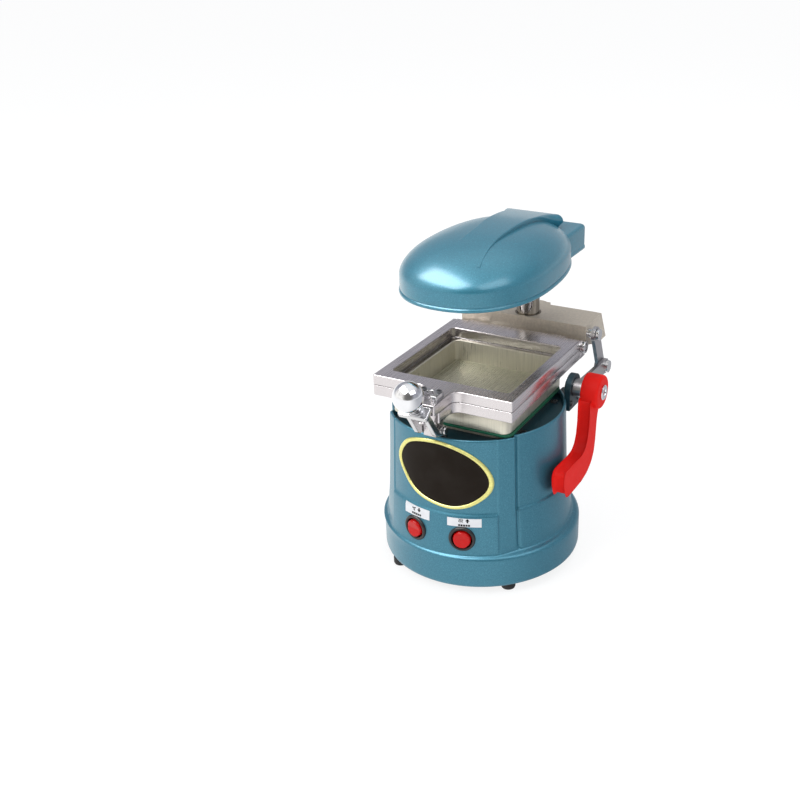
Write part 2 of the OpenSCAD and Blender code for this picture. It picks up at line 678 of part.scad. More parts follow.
module link_stud() color([0.75, 0.75, 0.77]) set_down() {
    xcyl(stud_r, plate_x, link_x1 + 0.4, stud_y, stud_z);
    xcyl(4.4, plate_x, link_x0 - 0.3, stud_y, stud_z);
    xcyl(5.6, link_x1 + 0.3, link_x1 + 3.2, stud_y, stud_z);
}

module handle() color([0.82, 0.05, 0.04]) set_down() difference() {
    union() {
        xcyl(handle_boss_r, handle_x0, handle_x1, shaft_y, shaft_z);
        translate([handle_x0, 0, 0]) rotate([90, 0, 90]) linear_extrude(12)
            polygon([[shaft_y + 3, shaft_z - 12], [shaft_y - 15.6, shaft_z - 3], [32.4, 150],
                [32, 133], [29.5, 120], [25, 111.5], [18, 106.6], [8, 105.4], [-10, 106.6],
                [-24.5, 107.6], [-27.4, 105.6], [-26, 96], [-23.4, 88.6], [-20, 86],
                [-6, 83.8], [14, 83.8], [27, 86.4], [36, 91.5], [41.5, 99], [44, 110],
                [46.5, 133], [51, 143]]);
    }
    xcyl(shaft_r, handle_x0 - 5, handle_x1 - 1, shaft_y, shaft_z);
}

module handle_cap() color([0.85, 0.85, 0.87]) set_down() difference() {
    xcyl(7.2, handle_x1, handle_x1 + 2, shaft_y, shaft_z);
    xcyl(3.2, handle_x1 + 1, handle_x1 + 3, shaft_y, shaft_z);
}

module post_collar() color([0.3, 0.3, 0.32]) set_down() difference() {
    translate([0, post_y, 250]) cylinder(r = 18, h = head_z0 - 1 - 250);
    translate([0, post_y, 240]) cylinder(r = post_r, h = 40);
}

// one point of the oval, drawn in by d and scaled by k
function oval_pt(t, k, d) = [sign(cos(t))*pow(abs(cos(t)), 2/head_pow)*(head_a*k - d),
    head_yc + sign(sin(t))*pow(abs(sin(t)), 2/head_pow)
    *((sin(t) < 0 ? head_bf : head_br)*k - d)];

oval_n = 48;
function oval_at(k, d) = [for (i = [0:oval_n - 1]) oval_pt(360*(i + 0.5)/oval_n, k, d)];

module oval(k, d) polygon(oval_at(k, d));

function dome_z(k) = head_z0 + head_side + head_dome*pow(1 - pow(k, 2.51), 1/1.65);
dome_k = [0.97, 0.9, 0.78, 0.62, 0.42, 0.18];

// the closed dome as stacked ovals, drawn in by d and lowered by drop
module dome(d, z0, drop) {
    levels = concat([[1, z0], [1, head_z0 + head_side - drop]],
        [for (k = dome_k) [k, dome_z(k) - drop]]);
    m = len(levels);
    pts = [for (l = levels) for (p = oval_at(l[0], l[0]*d)) [p[0], p[1], l[1]]];
    polyhedron(points = pts, faces = concat(
        [[for (i = [0:oval_n - 1]) i]],
        [[for (i = [oval_n - 1:-1:0]) (m - 1)*oval_n + i]],
        [for (j = [0:m - 2], i = [0:oval_n - 1]) let (a = j*oval_n + i, b = j*oval_n + (i + 1) % oval_n)
            [a, b + oval_n, b]],
        [for (j = [0:m - 2], i = [0:oval_n - 1]) let (a = j*oval_n + i, b = j*oval_n + (i + 1) % oval_n)
            [a, a + oval_n, b + oval_n]]));
}

// half width of the hood along its length
hood_side = [[27, -46], [23.5, -31], [21.5, -9], [19, 28], [15.8, 70], [14.4, 93],
    [19, 106], [26, 117]];

module hood() intersection() {
    translate([0, 0, head_z0 + 20]) linear_extrude(40)
        polygon(concat(hood_side, [for (i = [len(hood_side) - 1:-1:0])
            [-hood_side[i][0], hood_side[i][1]]]));
    translate([-40, 0, 0]) rotate([90, 0, 90]) linear_extrude(80)
        polygon([[-46, 290], [-46, 299.6], [-30, 304.6], [-8, 308.6], [20, 310.6],
            [50, 309.8], [78, 306.6], [100, 303], [117, 299.4], [117, 288], [60, 286]]);
}

module tail(x, y0, y1, z0, z1, r) {
    box(-x, x, y0, y1 - r, z0, z1);
    box(-x + r, x - r, y0, y1, z0, z1);
    for (s = [-1, 1]) translate([s*(x - r), y1 - r, z0]) cylinder(r = r, h = z1 - z0);
}

module head_cover() color([0.13, 0.37, 0.47]) set_down() difference() {
    union() {
        difference() {
            union() {
                dome(0, head_z0, 0);
                hood();
                tail(tail_half, 88, tail_rear, head_z0, tail_z1, 7);
            }
            dome(head_wall, head_z0 - 1, head_wall);
            tail(tail_half - head_wall, 80, tail_rear - head_wall, head_z0 - 1,
                tail_z1 - head_wall, 4);
        }
        translate([0, post_y, head_z0]) cylinder(r = 21, h = 30);
        // web that ties the pivot boss to the rear wall
        box(-5, 5, post_y, tail_rear - 1, head_z0 + 2, tail_z1 - 1);
    }
    translate([0, post_y, head_z0 - 1]) cylinder(r = 15, h = 25.4);
    translate([0, post_y, head_z0 + 20]) cylinder(r = 12.4, h = 7.8);
}

module head_plate() color([0.7, 0.7, 0.7]) set_down() difference() {
    translate([0, 0, head_z0 + 0.6]) linear_extrude(1.6) oval(1, head_wall + 0.1);
    translate([0, 0, head_z0 - 1]) cylinder(r = dish_r - 1.5, h = 5);
    translate([0, post_y, head_z0 - 1]) cylinder(r = 21.3, h = 5);
    box(-tail_half - 5, tail_half + 5, post_y - 18, 150, head_z0 - 1, head_z0 + 5);
}

module head_screws() color([0.6, 0.6, 0.62]) set_down() for (p = [[-48, -38.5], [48, -38.5], [-50, 48], [50, 48]])
        translate([p[0], p[1], head_z0 - 0.9]) cylinder(r = 2.8, h = 1.5);

module reflector() color([0.85, 0.85, 0.84]) set_down() difference() {
    union() {
        translate([0, 0, head_z0 + 2.2]) cylinder(r = dish_r, h = 1.2);
        translate([0, 0, head_z0 + 3.4]) cylinder(r1 = dish_r, r2 = dish_r - 5, h = 16);
    }
    translate([0, 0, head_z0 + 1]) cylinder(r = dish_r - 1.5, h = 2.4);
    translate([0, 0, head_z0 + 3.39]) cylinder(r1 = dish_r - 1.5, r2 = dish_r - 6.5, h = 14.8);
}

module heater_coil() color([0.35, 0.33, 0.32]) set_down() {
    for (r = [44, 31, 18]) translate([0, 0, head_z0 + 9])
        rotate_extrude() translate([r, 0]) circle(r = 3, $fn = 24);
    for (a = [90, 330, 210]) rotate([0, 0, a]) translate([12, 0, head_z0 + 9])
        rotate([0, 90, 0]) cylinder(r = 1.6, h = 34);
}

module heater_holders() color([0.9, 0.88, 0.82]) set_down() for (a = [30, 150, 270]) rotate([0, 0, a]) {
        translate([31, 0, head_z0 + 12.05]) cylinder(r = 3.4, h = 3);
        translate([31, 0, head_z0 + 12.05]) cylinder(r = 2, h = 6.1);
    }

module head_bush() color([0.72, 0.55, 0.25]) set_down() difference() {
    union() {
        translate([0, post_y, head_z0]) cylinder(r = 15, h = 24.4);
        translate([0, post_y, head_z0 - 0.7]) cylinder(r = 17.6, h = 0.7);
    }
    translate([0, post_y, head_z0 - 2]) cylinder(r = post_r + run, h = 40);
}

module post_screw() color([0.6, 0.6, 0.62]) set_down() translate([0, post_y, post_z1]) cylinder(r = 6, h = 2.6);

body();
base_plate();
base_screws();
feet();
top_deck();
deck_screws();
vacuum_table();
gasket();
chamber();
tray();
impeller_housing();
vacuum_motor();
badge();
badge_trim();
label_vacuum();
label_heat();
bezel_vacuum();
bezel_heat();
rocker_vacuum();
rocker_heat();
power_inlet();
inlet_pins();
post_bracket();
bracket_bolts();
post();
guide_rod();
carriage();
carriage_bush();
frame_screws();
frame_lower();
sheet_seal();
frame_upper();
hinge_pin();
lug_strike();
strike_screws();
latch_pin();
latch_yoke();
knob();
lever_bracket();
lever_screws();
lever_shaft();
crank();
crank_bolt();
link();
link_stud();
handle();
handle_cap();
post_collar();
head_cover();
head_plate();
head_screws();
reflector();
heater_coil();
heater_holders();
head_bush();
post_screw();
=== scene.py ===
"""Dental vacuum former: the dressed model, its stage and its camera.

The frame's own solids carry the mechanism. This script lays a finished surface over each of them:
the enamelled base and head, the satin clamping frames, the perforated tray, the lever and its linkage.
Lengths are millimetres in the base ring's own axes: X to the right, -Y to the front, Z up.
"""
from __future__ import annotations

import json
import logging
from dataclasses import dataclass
from enum import Enum
from typing import Sequence, Union

import bmesh
import bpy
import numpy as np
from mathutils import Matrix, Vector
from mathutils.geometry import tessellate_polygon

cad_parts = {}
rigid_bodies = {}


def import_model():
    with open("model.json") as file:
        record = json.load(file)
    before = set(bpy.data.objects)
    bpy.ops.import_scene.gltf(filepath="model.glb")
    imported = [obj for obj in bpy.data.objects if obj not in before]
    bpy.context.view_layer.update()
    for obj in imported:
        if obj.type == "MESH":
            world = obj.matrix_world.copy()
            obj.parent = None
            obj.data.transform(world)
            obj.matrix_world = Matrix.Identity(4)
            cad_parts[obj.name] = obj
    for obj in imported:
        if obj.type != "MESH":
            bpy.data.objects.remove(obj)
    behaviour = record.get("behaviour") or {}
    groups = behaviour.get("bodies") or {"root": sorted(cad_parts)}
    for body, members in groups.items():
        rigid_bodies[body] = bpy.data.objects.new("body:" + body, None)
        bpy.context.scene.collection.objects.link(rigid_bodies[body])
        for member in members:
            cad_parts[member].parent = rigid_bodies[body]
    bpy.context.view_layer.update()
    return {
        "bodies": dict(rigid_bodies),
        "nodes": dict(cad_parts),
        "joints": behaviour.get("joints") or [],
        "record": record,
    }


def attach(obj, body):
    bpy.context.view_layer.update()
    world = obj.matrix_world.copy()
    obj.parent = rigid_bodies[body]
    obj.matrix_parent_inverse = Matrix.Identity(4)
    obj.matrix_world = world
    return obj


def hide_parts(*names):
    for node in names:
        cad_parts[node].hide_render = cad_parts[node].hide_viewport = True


LOG = logging.getLogger("vacuum_former")
Array = np.ndarray
SET_DOWN = np.array([-5.25, -5.1, 0.0])
MM = 0.001
POST_Y = 109.0


class Body(Enum):
    """The moving bodies of the frame."""

    BASE = "base"
    CARRIAGE = "carriage"
    FRAME = "frame"
    LATCH = "latch"
    KNOB = "knob"
    LEVER = "lever"
    LINK = "link"
    HEAD = "head"
    VACUUM = "switch_vacuum"
    HEAT = "switch_heat"


class Axis(Enum):
    """Which of a flat shell's numbers (along, across, thickness) become X, Y and Z."""

    SIDE = (2, 0, 1)
    FRONT = (0, 2, 1)


# --------------------------------------------------------------------------- surfaces


@dataclass
class Shell:
    """Points in millimetres and the faces over them."""

    points: Array
    faces: list[list[int]]

    def __add__(self, other: "Shell") -> "Shell":
        """Both shells in one."""
        shift = len(self.points)
        moved = [[i + shift for i in face] for face in other.faces]
        return Shell(np.vstack([self.points, other.points]), self.faces + moved)

    def stood(self, axis: Axis) -> "Shell":
        """The shell with its plan laid on another plane."""
        return Shell(self.points[:, axis.value], self.faces)

    def moved(self, x: float = 0.0, y: float = 0.0, z: float = 0.0) -> "Shell":
        """The shell shifted."""
        return Shell(self.points + np.array([x, y, z]), self.faces)

    def turned_about_x(self, degrees: float) -> "Shell":
        """The shell turned about the X axis."""
        c, s = np.cos(np.radians(degrees)), np.sin(np.radians(degrees))
        return Shell(self.points @ np.array([[1, 0, 0], [0, c, s], [0, -s, c]]), self.faces)

    def turned_about_z(self, degrees: float) -> "Shell":
        """The shell turned about the Z axis."""
        c, s = np.cos(np.radians(degrees)), np.sin(np.radians(degrees))
        return Shell(self.points @ np.array([[c, s, 0], [-s, c, 0], [0, 0, 1]]), self.faces)

    def mirrored(self) -> "Shell":
        """The shell and its mirror image in the middle plane X = 0."""
        return self + Shell(self.points * np.array([-1, 1, 1]), self.faces)


def soft_step(value: Array, start: float, end: float) -> Array:
    """0 before start, 1 after end, and 3t^2 - 2t^3 between.

    Args:
        value: where to look.
        start: the value at which it leaves 0.
        end: the value at which it reaches 1.

    Returns:
        The share at each value.
    """
    t = np.clip((np.asarray(value, float) - start) / (end - start), 0, 1)
    return t * t * (3 - 2 * t)


def fair(x: Array, knots: Sequence[float], values: Sequence[float]) -> Array:
    """A smooth curve through knots: cubic pieces whose slopes are the mean slopes of their neighbours.

    Args:
        x: where to read the curve.
        knots: rising places.
        values: the curve's heights there.

    Returns:
        The curve at x.
    """
    k, v = np.asarray(knots, float), np.asarray(values, float)
    slope = np.gradient(v, k)
    i = np.clip(np.searchsorted(k, x, side="right") - 1, 0, len(k) - 2)
    h = k[i + 1] - k[i]
    t = np.clip((x - k[i]) / h, 0, 1)
    return ((2 * t**3 - 3 * t**2 + 1) * v[i] + (t**3 - 2 * t**2 + t) * h * slope[i]
            + (3 * t**2 - 2 * t**3) * v[i + 1] + (t**3 - t**2) * h * slope[i + 1])


def lattice(grid: Array, close_rows: bool = False, close_columns: bool = True) -> Shell:
    """Faces over a grid of points, four corners each.

    Args:
        grid: rows x columns x 3.
        close_rows: whether the last row joins the first.
        close_columns: whether the last column joins the first.

    Returns:
        The shell.
    """
    rows, columns = grid.shape[:2]
    i = np.arange(rows if close_rows else rows - 1)[:, None]
    j = np.arange(columns if close_columns else columns - 1)[None, :]
    i1, j1 = (i + 1) % rows, (j + 1) % columns
    quads = np.stack(np.broadcast_arrays(i * columns + j, i * columns + j1,
                                         i1 * columns + j1, i1 * columns + j), -1)
    return Shell(grid.reshape(-1, 3), quads.reshape(-1, 4).tolist())


def circle(radius: float, centre: tuple[float, float] = (0, 0), sides: int = 40) -> Array:
    """Points on a circle, the other way from the clock's hands.

    Args:
        radius: of the circle.
        centre: its middle.
        sides: how many points.

    Returns:
        sides x 2 points.
    """
    t = np.arange(sides) * 2 * np.pi / sides
    return np.column_stack([np.cos(t), np.sin(t)]) * radius + np.array(centre)


def rounded(corners: Sequence[tuple[float, float, float]], steps: int = 6) -> Array:
    """A closed outline whose corners are arcs tangent to both sides.

    Args:
        corners: x, y and radius of each corner, in order.
        steps: pieces in each arc.

    Returns:
        The outline's points.
    """
    found = []
    for k, (x, y, radius) in enumerate(corners):
        p = np.array([x, y], float)
        a = np.array(corners[k - 1][:2], float) - p
        b = np.array(corners[(k + 1) % len(corners)][:2], float) - p
        a, b = a / np.linalg.norm(a), b / np.linalg.norm(b)
        half = np.arccos(np.clip(a @ b, -1, 1)) / 2
        if radius <= 0 or half > np.pi / 2 - 0.01:
            found.append(p[None])
            continue
        middle = p + (a + b) / np.linalg.norm(a + b) * radius / np.sin(half)
        first = p + a * radius / np.tan(half) - middle
        last = p + b * radius / np.tan(half) - middle
        s, e = np.arctan2(first[1], first[0]), np.arctan2(last[1], last[0])
        t = s + ((e - s + np.pi) % (2 * np.pi) - np.pi) * np.linspace(0, 1, steps + 1)
        found.append(middle + radius * np.column_stack([np.cos(t), np.sin(t)]))
    return np.vstack(found)


def square(half: float, corner: float, steps: int = 8) -> Array:
    """A round-cornered square about the axis, the other way from the clock's hands."""
    return rounded([(half, -half, corner), (half, half, corner), (-half, half, corner),
                    (-half, -half, corner)], steps)


def block(x0: float, x1: float, y0: float, y1: float, corner: float = 0.8, steps: int = 4) -> Array:
    """A round-cornered oblong's outline between two corners."""
    return rounded([(x1, y0, corner), (x1, y1, corner), (x0, y1, corner), (x0, y0, corner)], steps)


def inset(loop: Array, depth: float) -> Array:
    """Each corner of a closed loop moved to its left along the mitre, so that every side moves by depth.

    Args:
        loop: the corners.
        depth: how far each side moves.

    Returns:
        The moved corners.
    """
    before = loop - np.roll(loop, 1, 0)
    after = np.roll(loop, -1, 0) - loop
    a = np.column_stack([-before[:, 1], before[:, 0]]) / np.linalg.norm(before, axis=1)[:, None]
    b = np.column_stack([-after[:, 1], after[:, 0]]) / np.linalg.norm(after, axis=1)[:, None]
    return loop + depth * (a + b) / np.maximum(1 + (a * b).sum(1), 0.3)[:, None]


def lid(loops: Sequence[Array], starts: Sequence[int]) -> list[list[int]]:
    """Triangles over an outline and its holes.

    Args:
        loops: the outline, then its holes, as flat points.
        starts: the number of each loop's first point in the shell.

    Returns:
        Triangles as point numbers.
    """
    flat = [[Vector((p[0], p[1], 0)) for p in loop] for loop in loops]
    numbers = np.concatenate([s + np.arange(len(l)) for s, l in zip(starts, loops)])
    return [[int(numbers[i]) for i in tri] for tri in tessellate_polygon(flat)]


def plate(outline: Array, low: float, high: float, holes: Sequence[Array] = (), edge: float = 0.6,
          foot: Union[float, None] = None, steps: int = 3) -> Shell:
    """A slab with rounded edges: each loop rises through a quarter circle, a wall and a quarter circle.

    Args:
        outline: the outer loop, the other way from the clock's hands.
        low: its underside.
        high: its top.
        holes: inner loops, the same way round as the outline.
        edge: radius of the upper edges.
        foot: radius of the lower edges, the same as the upper ones if it isn't given.
        steps: pieces in each quarter circle.

    Returns:
        The closed slab.
    """
    foot = edge if foot is None else foot
    t = np.linspace(0, np.pi / 2, steps + 1)
    depth, level = [], []
    if foot > 0:
        depth += [foot + 0.15, *(foot * (1 - np.sin(t)))]
        level += [low, *(low + foot * (1 - np.cos(t)))]
    else:
        depth, level = [0.0], [low]
    if edge > 0:
        depth += [*(edge * (1 - np.sin(t[::-1]))), edge + 0.15]
        level += [*(high - edge * (1 - np.cos(t[::-1]))), high]
    else:
        depth += [0.0]
        level += [high]
    made, starts = None, []
    loops = [outline, *[np.asarray(h)[::-1] for h in holes]]
    for loop in loops:
        starts.append(0 if made is None else len(made.points))
        rings = np.stack([np.column_stack([inset(loop, d), np.full(len(loop), z)])
                          for d, z in zip(depth, level)])
        made = lattice(rings) if made is None else made + lattice(rings)
    last = len(depth) - 1
    under = lid([inset(l, depth[0]) for l in loops], starts)
    over = lid([inset(l, depth[last]) for l in loops], [s + last * len(l) for s, l in zip(starts, loops)])
    made.faces += under + over
    return made


def turned(profile: Sequence[tuple[float, float]], sides: int = 48) -> Shell:
    """A profile of (radius, height) carried round the Z axis; a radius of 0 closes it.

    Args:
        profile: the section from one end to the other.
        sides: steps round the axis.

    Returns:
        The surface, closed where the profile reaches the axis.
    """
    p = np.asarray(profile, float)
    t = np.arange(sides) * 2 * np.pi / sides
    grid = np.stack([p[:, :1] * np.cos(t), p[:, :1] * np.sin(t),
                     np.repeat(p[:, 1:], sides, axis=1)], -1)
    return lattice(grid)


def bar(radius: float, low: float, high: float, edge: float = 0.4, sides: int = 40,
        bore: float = 0.0) -> Shell:
    """A turned bar or, with a bore, a ring, with rounded ends.

    Args:
        radius: of the bar.
        low: its lower end.
        high: its upper end.
        edge: radius of its edges.
        sides: steps round it.
        bore: radius of its hole.

    Returns:
        The closed bar.
    """
    t = np.linspace(0, np.pi / 2, 4)
    rise = [(radius - edge * (1 - np.sin(a)), low + edge * (1 - np.cos(a))) for a in t]
    fall = [(radius - edge * (1 - np.sin(a)), high - edge * (1 - np.cos(a))) for a in t[::-1]]
    if bore > 0:
        section = [(bore, low + 0.2), (bore + 0.2, low), *rise, *fall, (bore + 0.2, high),
                   (bore, high - 0.2), (bore, low + 0.2)]
        return turned(section, sides)
    return turned([(0, low), (max(radius - edge - 0.2, 0.1), low), *rise, *fall,
                   (max(radius - edge - 0.2, 0.1), high), (0, high)], sides)


def along_x(shell: Shell, y: float, z: float) -> Shell:
    """A shell made on the Z axis, laid along X through (y, z)."""
    return Shell(shell.points[:, [2, 0, 1]] + np.array([0, y, z]), shell.faces)


def facing_rear(shell: Shell, x: float, y: float, z: float) -> Shell:
    """A shell made on the Z axis, pointing to +Y from a place."""
    return Shell(shell.points[:, [1, 2, 0]] + np.array([x, y, z]), shell.faces)


def facing_front(shell: Shell, x: float, y: float, z: float) -> Shell:
    """A shell made on the Z axis, pointing to -Y from a place."""
    flipped = shell.points[:, [0, 2, 1]] * np.array([1, -1, 1])
    return Shell(flipped + np.array([x, y, z]), shell.faces)


def socket_head(radius: float, height: float, key: float, edge: float = 0.35) -> Shell:
    """A cap screw's head on the floor plane, with a hexagon socket in its top."""
    low = height * 0.42
    ring = plate(circle(radius, sides=32), low, height, [circle(key, sides=6)], edge, 0.0, 2)
    return ring + plate(circle(radius, sides=32), 0.0, low, (), 0.0, 0.0)


def joined(shells: Sequence[Shell]) -> Shell:
    """Several shells in one."""
    whole = shells[0]
    for shell in shells[1:]:
        whole = whole + shell
    return whole


def shown(name: str, data: bpy.types.ID) -> bpy.types.Object:
    """A new object of the data, in the scene."""
    made = bpy.data.objects.new(name, data)
    bpy.context.scene.collection.objects.link(made)
    return made


def hull_loops(loops: Sequence[tuple[Array, float]]) -> Shell:
    """Flat loops of equal length joined in order and closed into a ring.

    Args:
        loops: the loops with their heights, from one edge round to the same edge.

    Returns:
        A closed, square-sectioned ring.
    """
    grid = np.stack([np.column_stack([l, np.full(len(l), z)]) for l, z in loops])
    return lattice(grid, close_rows=True)


# --------------------------------------------------------------------------- finishes


class Wire:
    """One output in a material's node tree, so that shader maths reads as arithmetic."""

    def __init__(self, web: "Web", socket: bpy.types.NodeSocket) -> None:
        """Keeps the tree and the output."""
        self.web = web
        self.socket = socket

    def _do(self, operation: str, first: "Value", second: "Value") -> "Wire":
        """Adds a Math node."""
        node = self.web.node("ShaderNodeMath", {"operation": operation}, {0: first, 1: second})
        return Wire(self.web, node.outputs[0])

    def __add__(self, other: "Value") -> "Wire":
        """self + other."""
        return self._do("ADD", self, other)

    def __mul__(self, other: "Value") -> "Wire":
        """self * other."""
        return self._do("MULTIPLY", self, other)


Value = Union[Wire, float, tuple]


class Web:
    """Builds one node tree."""

    def __init__(self, tree: bpy.types.NodeTree) -> None:
        """Starts from an empty tree."""
        self.tree = tree
        tree.nodes.clear()

    def node(self, kind: str, settings: Union[dict, None] = None,
             inputs: Union[dict, None] = None) -> bpy.types.Node:
        """Adds a node.

        Args:
            kind: its type.
            settings: its properties, or the stops of a ramp under "stops".
            inputs: values or wires of its sockets, by name or number.

        Returns:
            The node.
        """
        made = self.tree.nodes.new(kind)
        for name, value in (settings or {}).items():
            if name == "stops":
                ramp = made.color_ramp
                while len(ramp.elements) < len(value):
                    ramp.elements.new(0.5)
                for stop, (place, colour) in zip(ramp.elements, value):
                    stop.position = place
                    stop.color = (*colour, 1.0)
            else:
                setattr(made, name, value)
        for key, value in (inputs or {}).items():
            if isinstance(value, Wire):
                self.tree.links.new(value.socket, made.inputs[key])
            else:
                made.inputs[key].default_value = value
        return made

    def place(self, stretch: tuple[float, float, float] = (1, 1, 1)) -> Wire:
        """Object coordinates, stretched."""
        coordinates = self.node("ShaderNodeTexCoord")
        spot = self.node("ShaderNodeMapping", None, {
            "Vector": Wire(self, coordinates.outputs["Object"]), "Scale": stretch})
        return Wire(self, spot.outputs[0])

    def noise(self, scale: float, detail: float = 3.0, rough: float = 0.55,
              stretch: tuple[float, float, float] = (1, 1, 1), over: Union[Wire, None] = None) -> Wire:
        """Cloudy noise from 0 to 1 at a scale per metre, over object coordinates unless others are given."""
        made = self.node("ShaderNodeTexNoise", None, {
            "Vector": over or self.place(stretch), "Scale": scale, "Detail": detail,
            "Roughness": rough})
        return Wire(self, made.outputs[0])

    def cells(self, scale: float) -> Wire:
        """A random value from 0 to 1 for each small cell."""
        made = self.node("ShaderNodeTexVoronoi", {"feature": "F1"}, {
            "Vector": self.place(), "Scale": scale})
        apart = self.node("ShaderNodeSeparateColor", None, {0: Wire(self, made.outputs["Color"])})
        return Wire(self, apart.outputs[0])

    def span(self, value: Wire, low: float, high: float, to_low: float = 0.0,
             to_high: float = 1.0) -> Wire:
        """The value's share between low and high, sent to another range and held there."""
        made = self.node("ShaderNodeMapRange", {"clamp": True}, {
            0: value, 1: low, 2: high, 3: to_low, 4: to_high})
        return Wire(self, made.outputs[0])

    def blend(self, share: Value, first: Value, second: Value) -> Wire:
        """A colour between two, by share."""
        made = self.node("ShaderNodeMix", {"data_type": "RGBA"}, {0: share})
        for number, value in ((6, first), (7, second)):
            if isinstance(value, Wire):
                self.tree.links.new(value.socket, made.inputs[number])
            else:
                made.inputs[number].default_value = (*value, 1.0)
        return Wire(self, made.outputs[2])

    def bump(self, height: Wire, strength: float, distance: float) -> Wire:
        """A normal tilted by a height in metres."""
        made = self.node("ShaderNodeBump", None, {
            "Height": height, "Strength": strength, "Distance": distance})
        return Wire(self, made.outputs[0])

    def finish(self, inputs: dict) -> None:
        """Ends the tree in a Principled surface with these sockets."""
        shader = self.node("ShaderNodeBsdfPrincipled", None, inputs)
        self.node("ShaderNodeOutputMaterial", None, {0: Wire(self, shader.outputs[0])})


def linear(red: int, green: int, blue: int) -> tuple[float, float, float]:
    """The linear colour of a screen colour."""
    c = np.array([red, green, blue]) / 255
    lin = np.where(c <= 0.04045, c / 12.92, ((c + 0.055) / 1.055) ** 2.4)
    return tuple(float(v) for v in lin)


@dataclass(frozen=True)
class Finish:
    """A named finish; its material is made once."""

    name: str

    def material(self) -> bpy.types.Material:
        """The material, made at the first call."""
        name = "finish_" + self.name
        found = bpy.data.materials.get(name)
        if found:
            return found
        made = bpy.data.materials.new(name)
        made.use_nodes = True
        self.dress(Web(made.node_tree))
        return made

    def dress(self, web: Web) -> None:
        """Builds the node tree."""
        raise NotImplementedError


@dataclass(frozen=True)
class FlakeEnamel(Finish):
    """Metallic enamel: bright and dark flakes in a deep colour under a thin clear coat."""

    deep: tuple[float, float, float]
    light: tuple[float, float, float]
    metal: float = 0.45
    rough: float = 0.36
    coat: float = 0.35
    gloss: float = 1.5

    def dress(self, web: Web) -> None:
        """Flakes from random cells, slow colour drift, a fine orange-peel bump."""
        flakes = web.cells(2300.0)
        fine = web.cells(4800.0)
        drift = web.noise(9.0, 2.0)
        share = web.span(flakes * 0.5 + fine * 0.5, 0.05, 0.95, 0.22, 0.78)
        body = web.blend(share, self.deep, self.light)
        spark = web.span(flakes, 0.93, 0.99)
        colour = web.blend(web.span(drift, 0.35, 0.7, 0.0, 0.12), body, self.light)
        colour = web.blend(spark * 0.14, colour, tuple(min(1.0, 2.1 * c + 0.03) for c in self.light))
        peel = web.noise(420.0, 2.0) * 0.8 + fine * 0.2
        web.finish({
            "Base Color": colour, "Metallic": self.metal,
            "Roughness": web.span(fine, 0.0, 1.0, self.rough - 0.04, self.rough + 0.06),
            "Coat Weight": self.coat, "Coat Roughness": 0.2, "Coat IOR": self.gloss,
            "Normal": web.bump(peel, 0.08, 0.0002)})


@dataclass(frozen=True)
class WorkedMetal(Finish):
    """Ground, brushed or cast metal with fine lines along one way."""

    colour: tuple[float, float, float]
    rough: float = 0.28
    lines: tuple[float, float, float] = (4.0, 220.0, 220.0)
    grain: float = 0.12
    depth: float = 0.00006
    metal: float = 1.0
    shade: float = 0.8
    painted_shade_below: float = 0.0

    def dress(self, web: Web) -> None:
        """Stretched noise is the tool marks; a slow noise dulls it in places. With a low shade, as on the
        post, the marks become strong dark streaks: a painted reflection.

        Faces that look up below a given height, in metres, are painted nearly black: painted shade standing
        in for an unlit bottom.
        """
        marks = web.noise(9.0, 5.0, 0.65, self.lines)
        haze = web.noise(38.0, 3.0)
        dark = tuple(c * self.shade for c in self.colour)
        colour = web.blend(web.span(marks, 0.35, 0.68), dark, self.colour)
        colour = web.blend(web.span(haze, 0.4, 0.75, 0.0, 0.25), colour, dark)
        # Painted shade: upward faces low down are painted nearly black, as if unlit.
        if self.painted_shade_below:
            apart = web.node("ShaderNodeSeparateXYZ", None, {0: web.place()})
            facing = web.node("ShaderNodeNewGeometry").outputs["Normal"]
            turned_up = web.node("ShaderNodeSeparateXYZ", None, {0: Wire(web, facing)})
            rise = web.span(Wire(web, apart.outputs[2]), self.painted_shade_below, self.painted_shade_below + 0.001)
            wall = web.span(Wire(web, turned_up.outputs[2]), 0.4, 0.6, 1.0, 0.0)
            colour = web.blend(web.span(rise + wall, 0.0, 1.0), (0.025, 0.024, 0.02), colour)
        rough = web.span(marks * 0.6 + haze * 0.4, 0.3, 0.7, self.rough - self.grain * 0.5,
                         self.rough + self.grain)
        web.finish({"Base Color": colour, "Metallic": self.metal, "Roughness": rough,
                    "Normal": web.bump(marks, 0.35, self.depth)})


@dataclass(frozen=True)
class Chrome(Finish):
    """Polished plating with the faintest haze and wipe marks."""

    colour: tuple[float, float, float] = (0.78, 0.79, 0.82)

    def dress(self, web: Web) -> None:
        """A slow haze in the roughness and a hair of waviness."""
        haze = web.noise(60.0, 4.0)
        web.finish({"Base Color": web.blend(haze, tuple(0.93 * c for c in self.colour), self.colour),
                    "Metallic": 1.0, "Roughness": web.span(haze, 0.35, 0.75, 0.035, 0.10),
                    "Normal": web.bump(web.noise(14.0, 2.0), 0.05, 0.0004)})


@dataclass(frozen=True)
class MouldedPlastic(Finish):
    """Moulded plastic or rubber with a fine texture and dust in its pores."""

    colour: tuple[float, float, float]
    rough: float = 0.4
    texture: float = 900.0
    depth: float = 0.00008
    coat: float = 0.0
    pale: float = 0.12
    shine: float = 0.5

    def dress(self, web: Web) -> None:
        """Fine pores in the bump; dust lightens the low spots a little."""
        pores = web.noise(self.texture, 3.0)
        wear = web.noise(46.0, 4.0)
        lighter = tuple(min(1.0, c + self.pale * (0.25 + c)) for c in self.colour)
        colour = web.blend(web.span(wear * 0.6 + pores * 0.4, 0.42, 0.72, 0.0, 0.5), self.colour, lighter)
        web.finish({"Base Color": colour,
                    "Roughness": web.span(pores * 0.5 + wear * 0.5, 0.3, 0.75, self.rough - 0.04,
                                          self.rough + 0.10),
                    "Coat Weight": self.coat, "Coat Roughness": 0.06,
                    "Specular IOR Level": self.shine,
                    "Normal": web.bump(pores, 0.4, self.depth)})


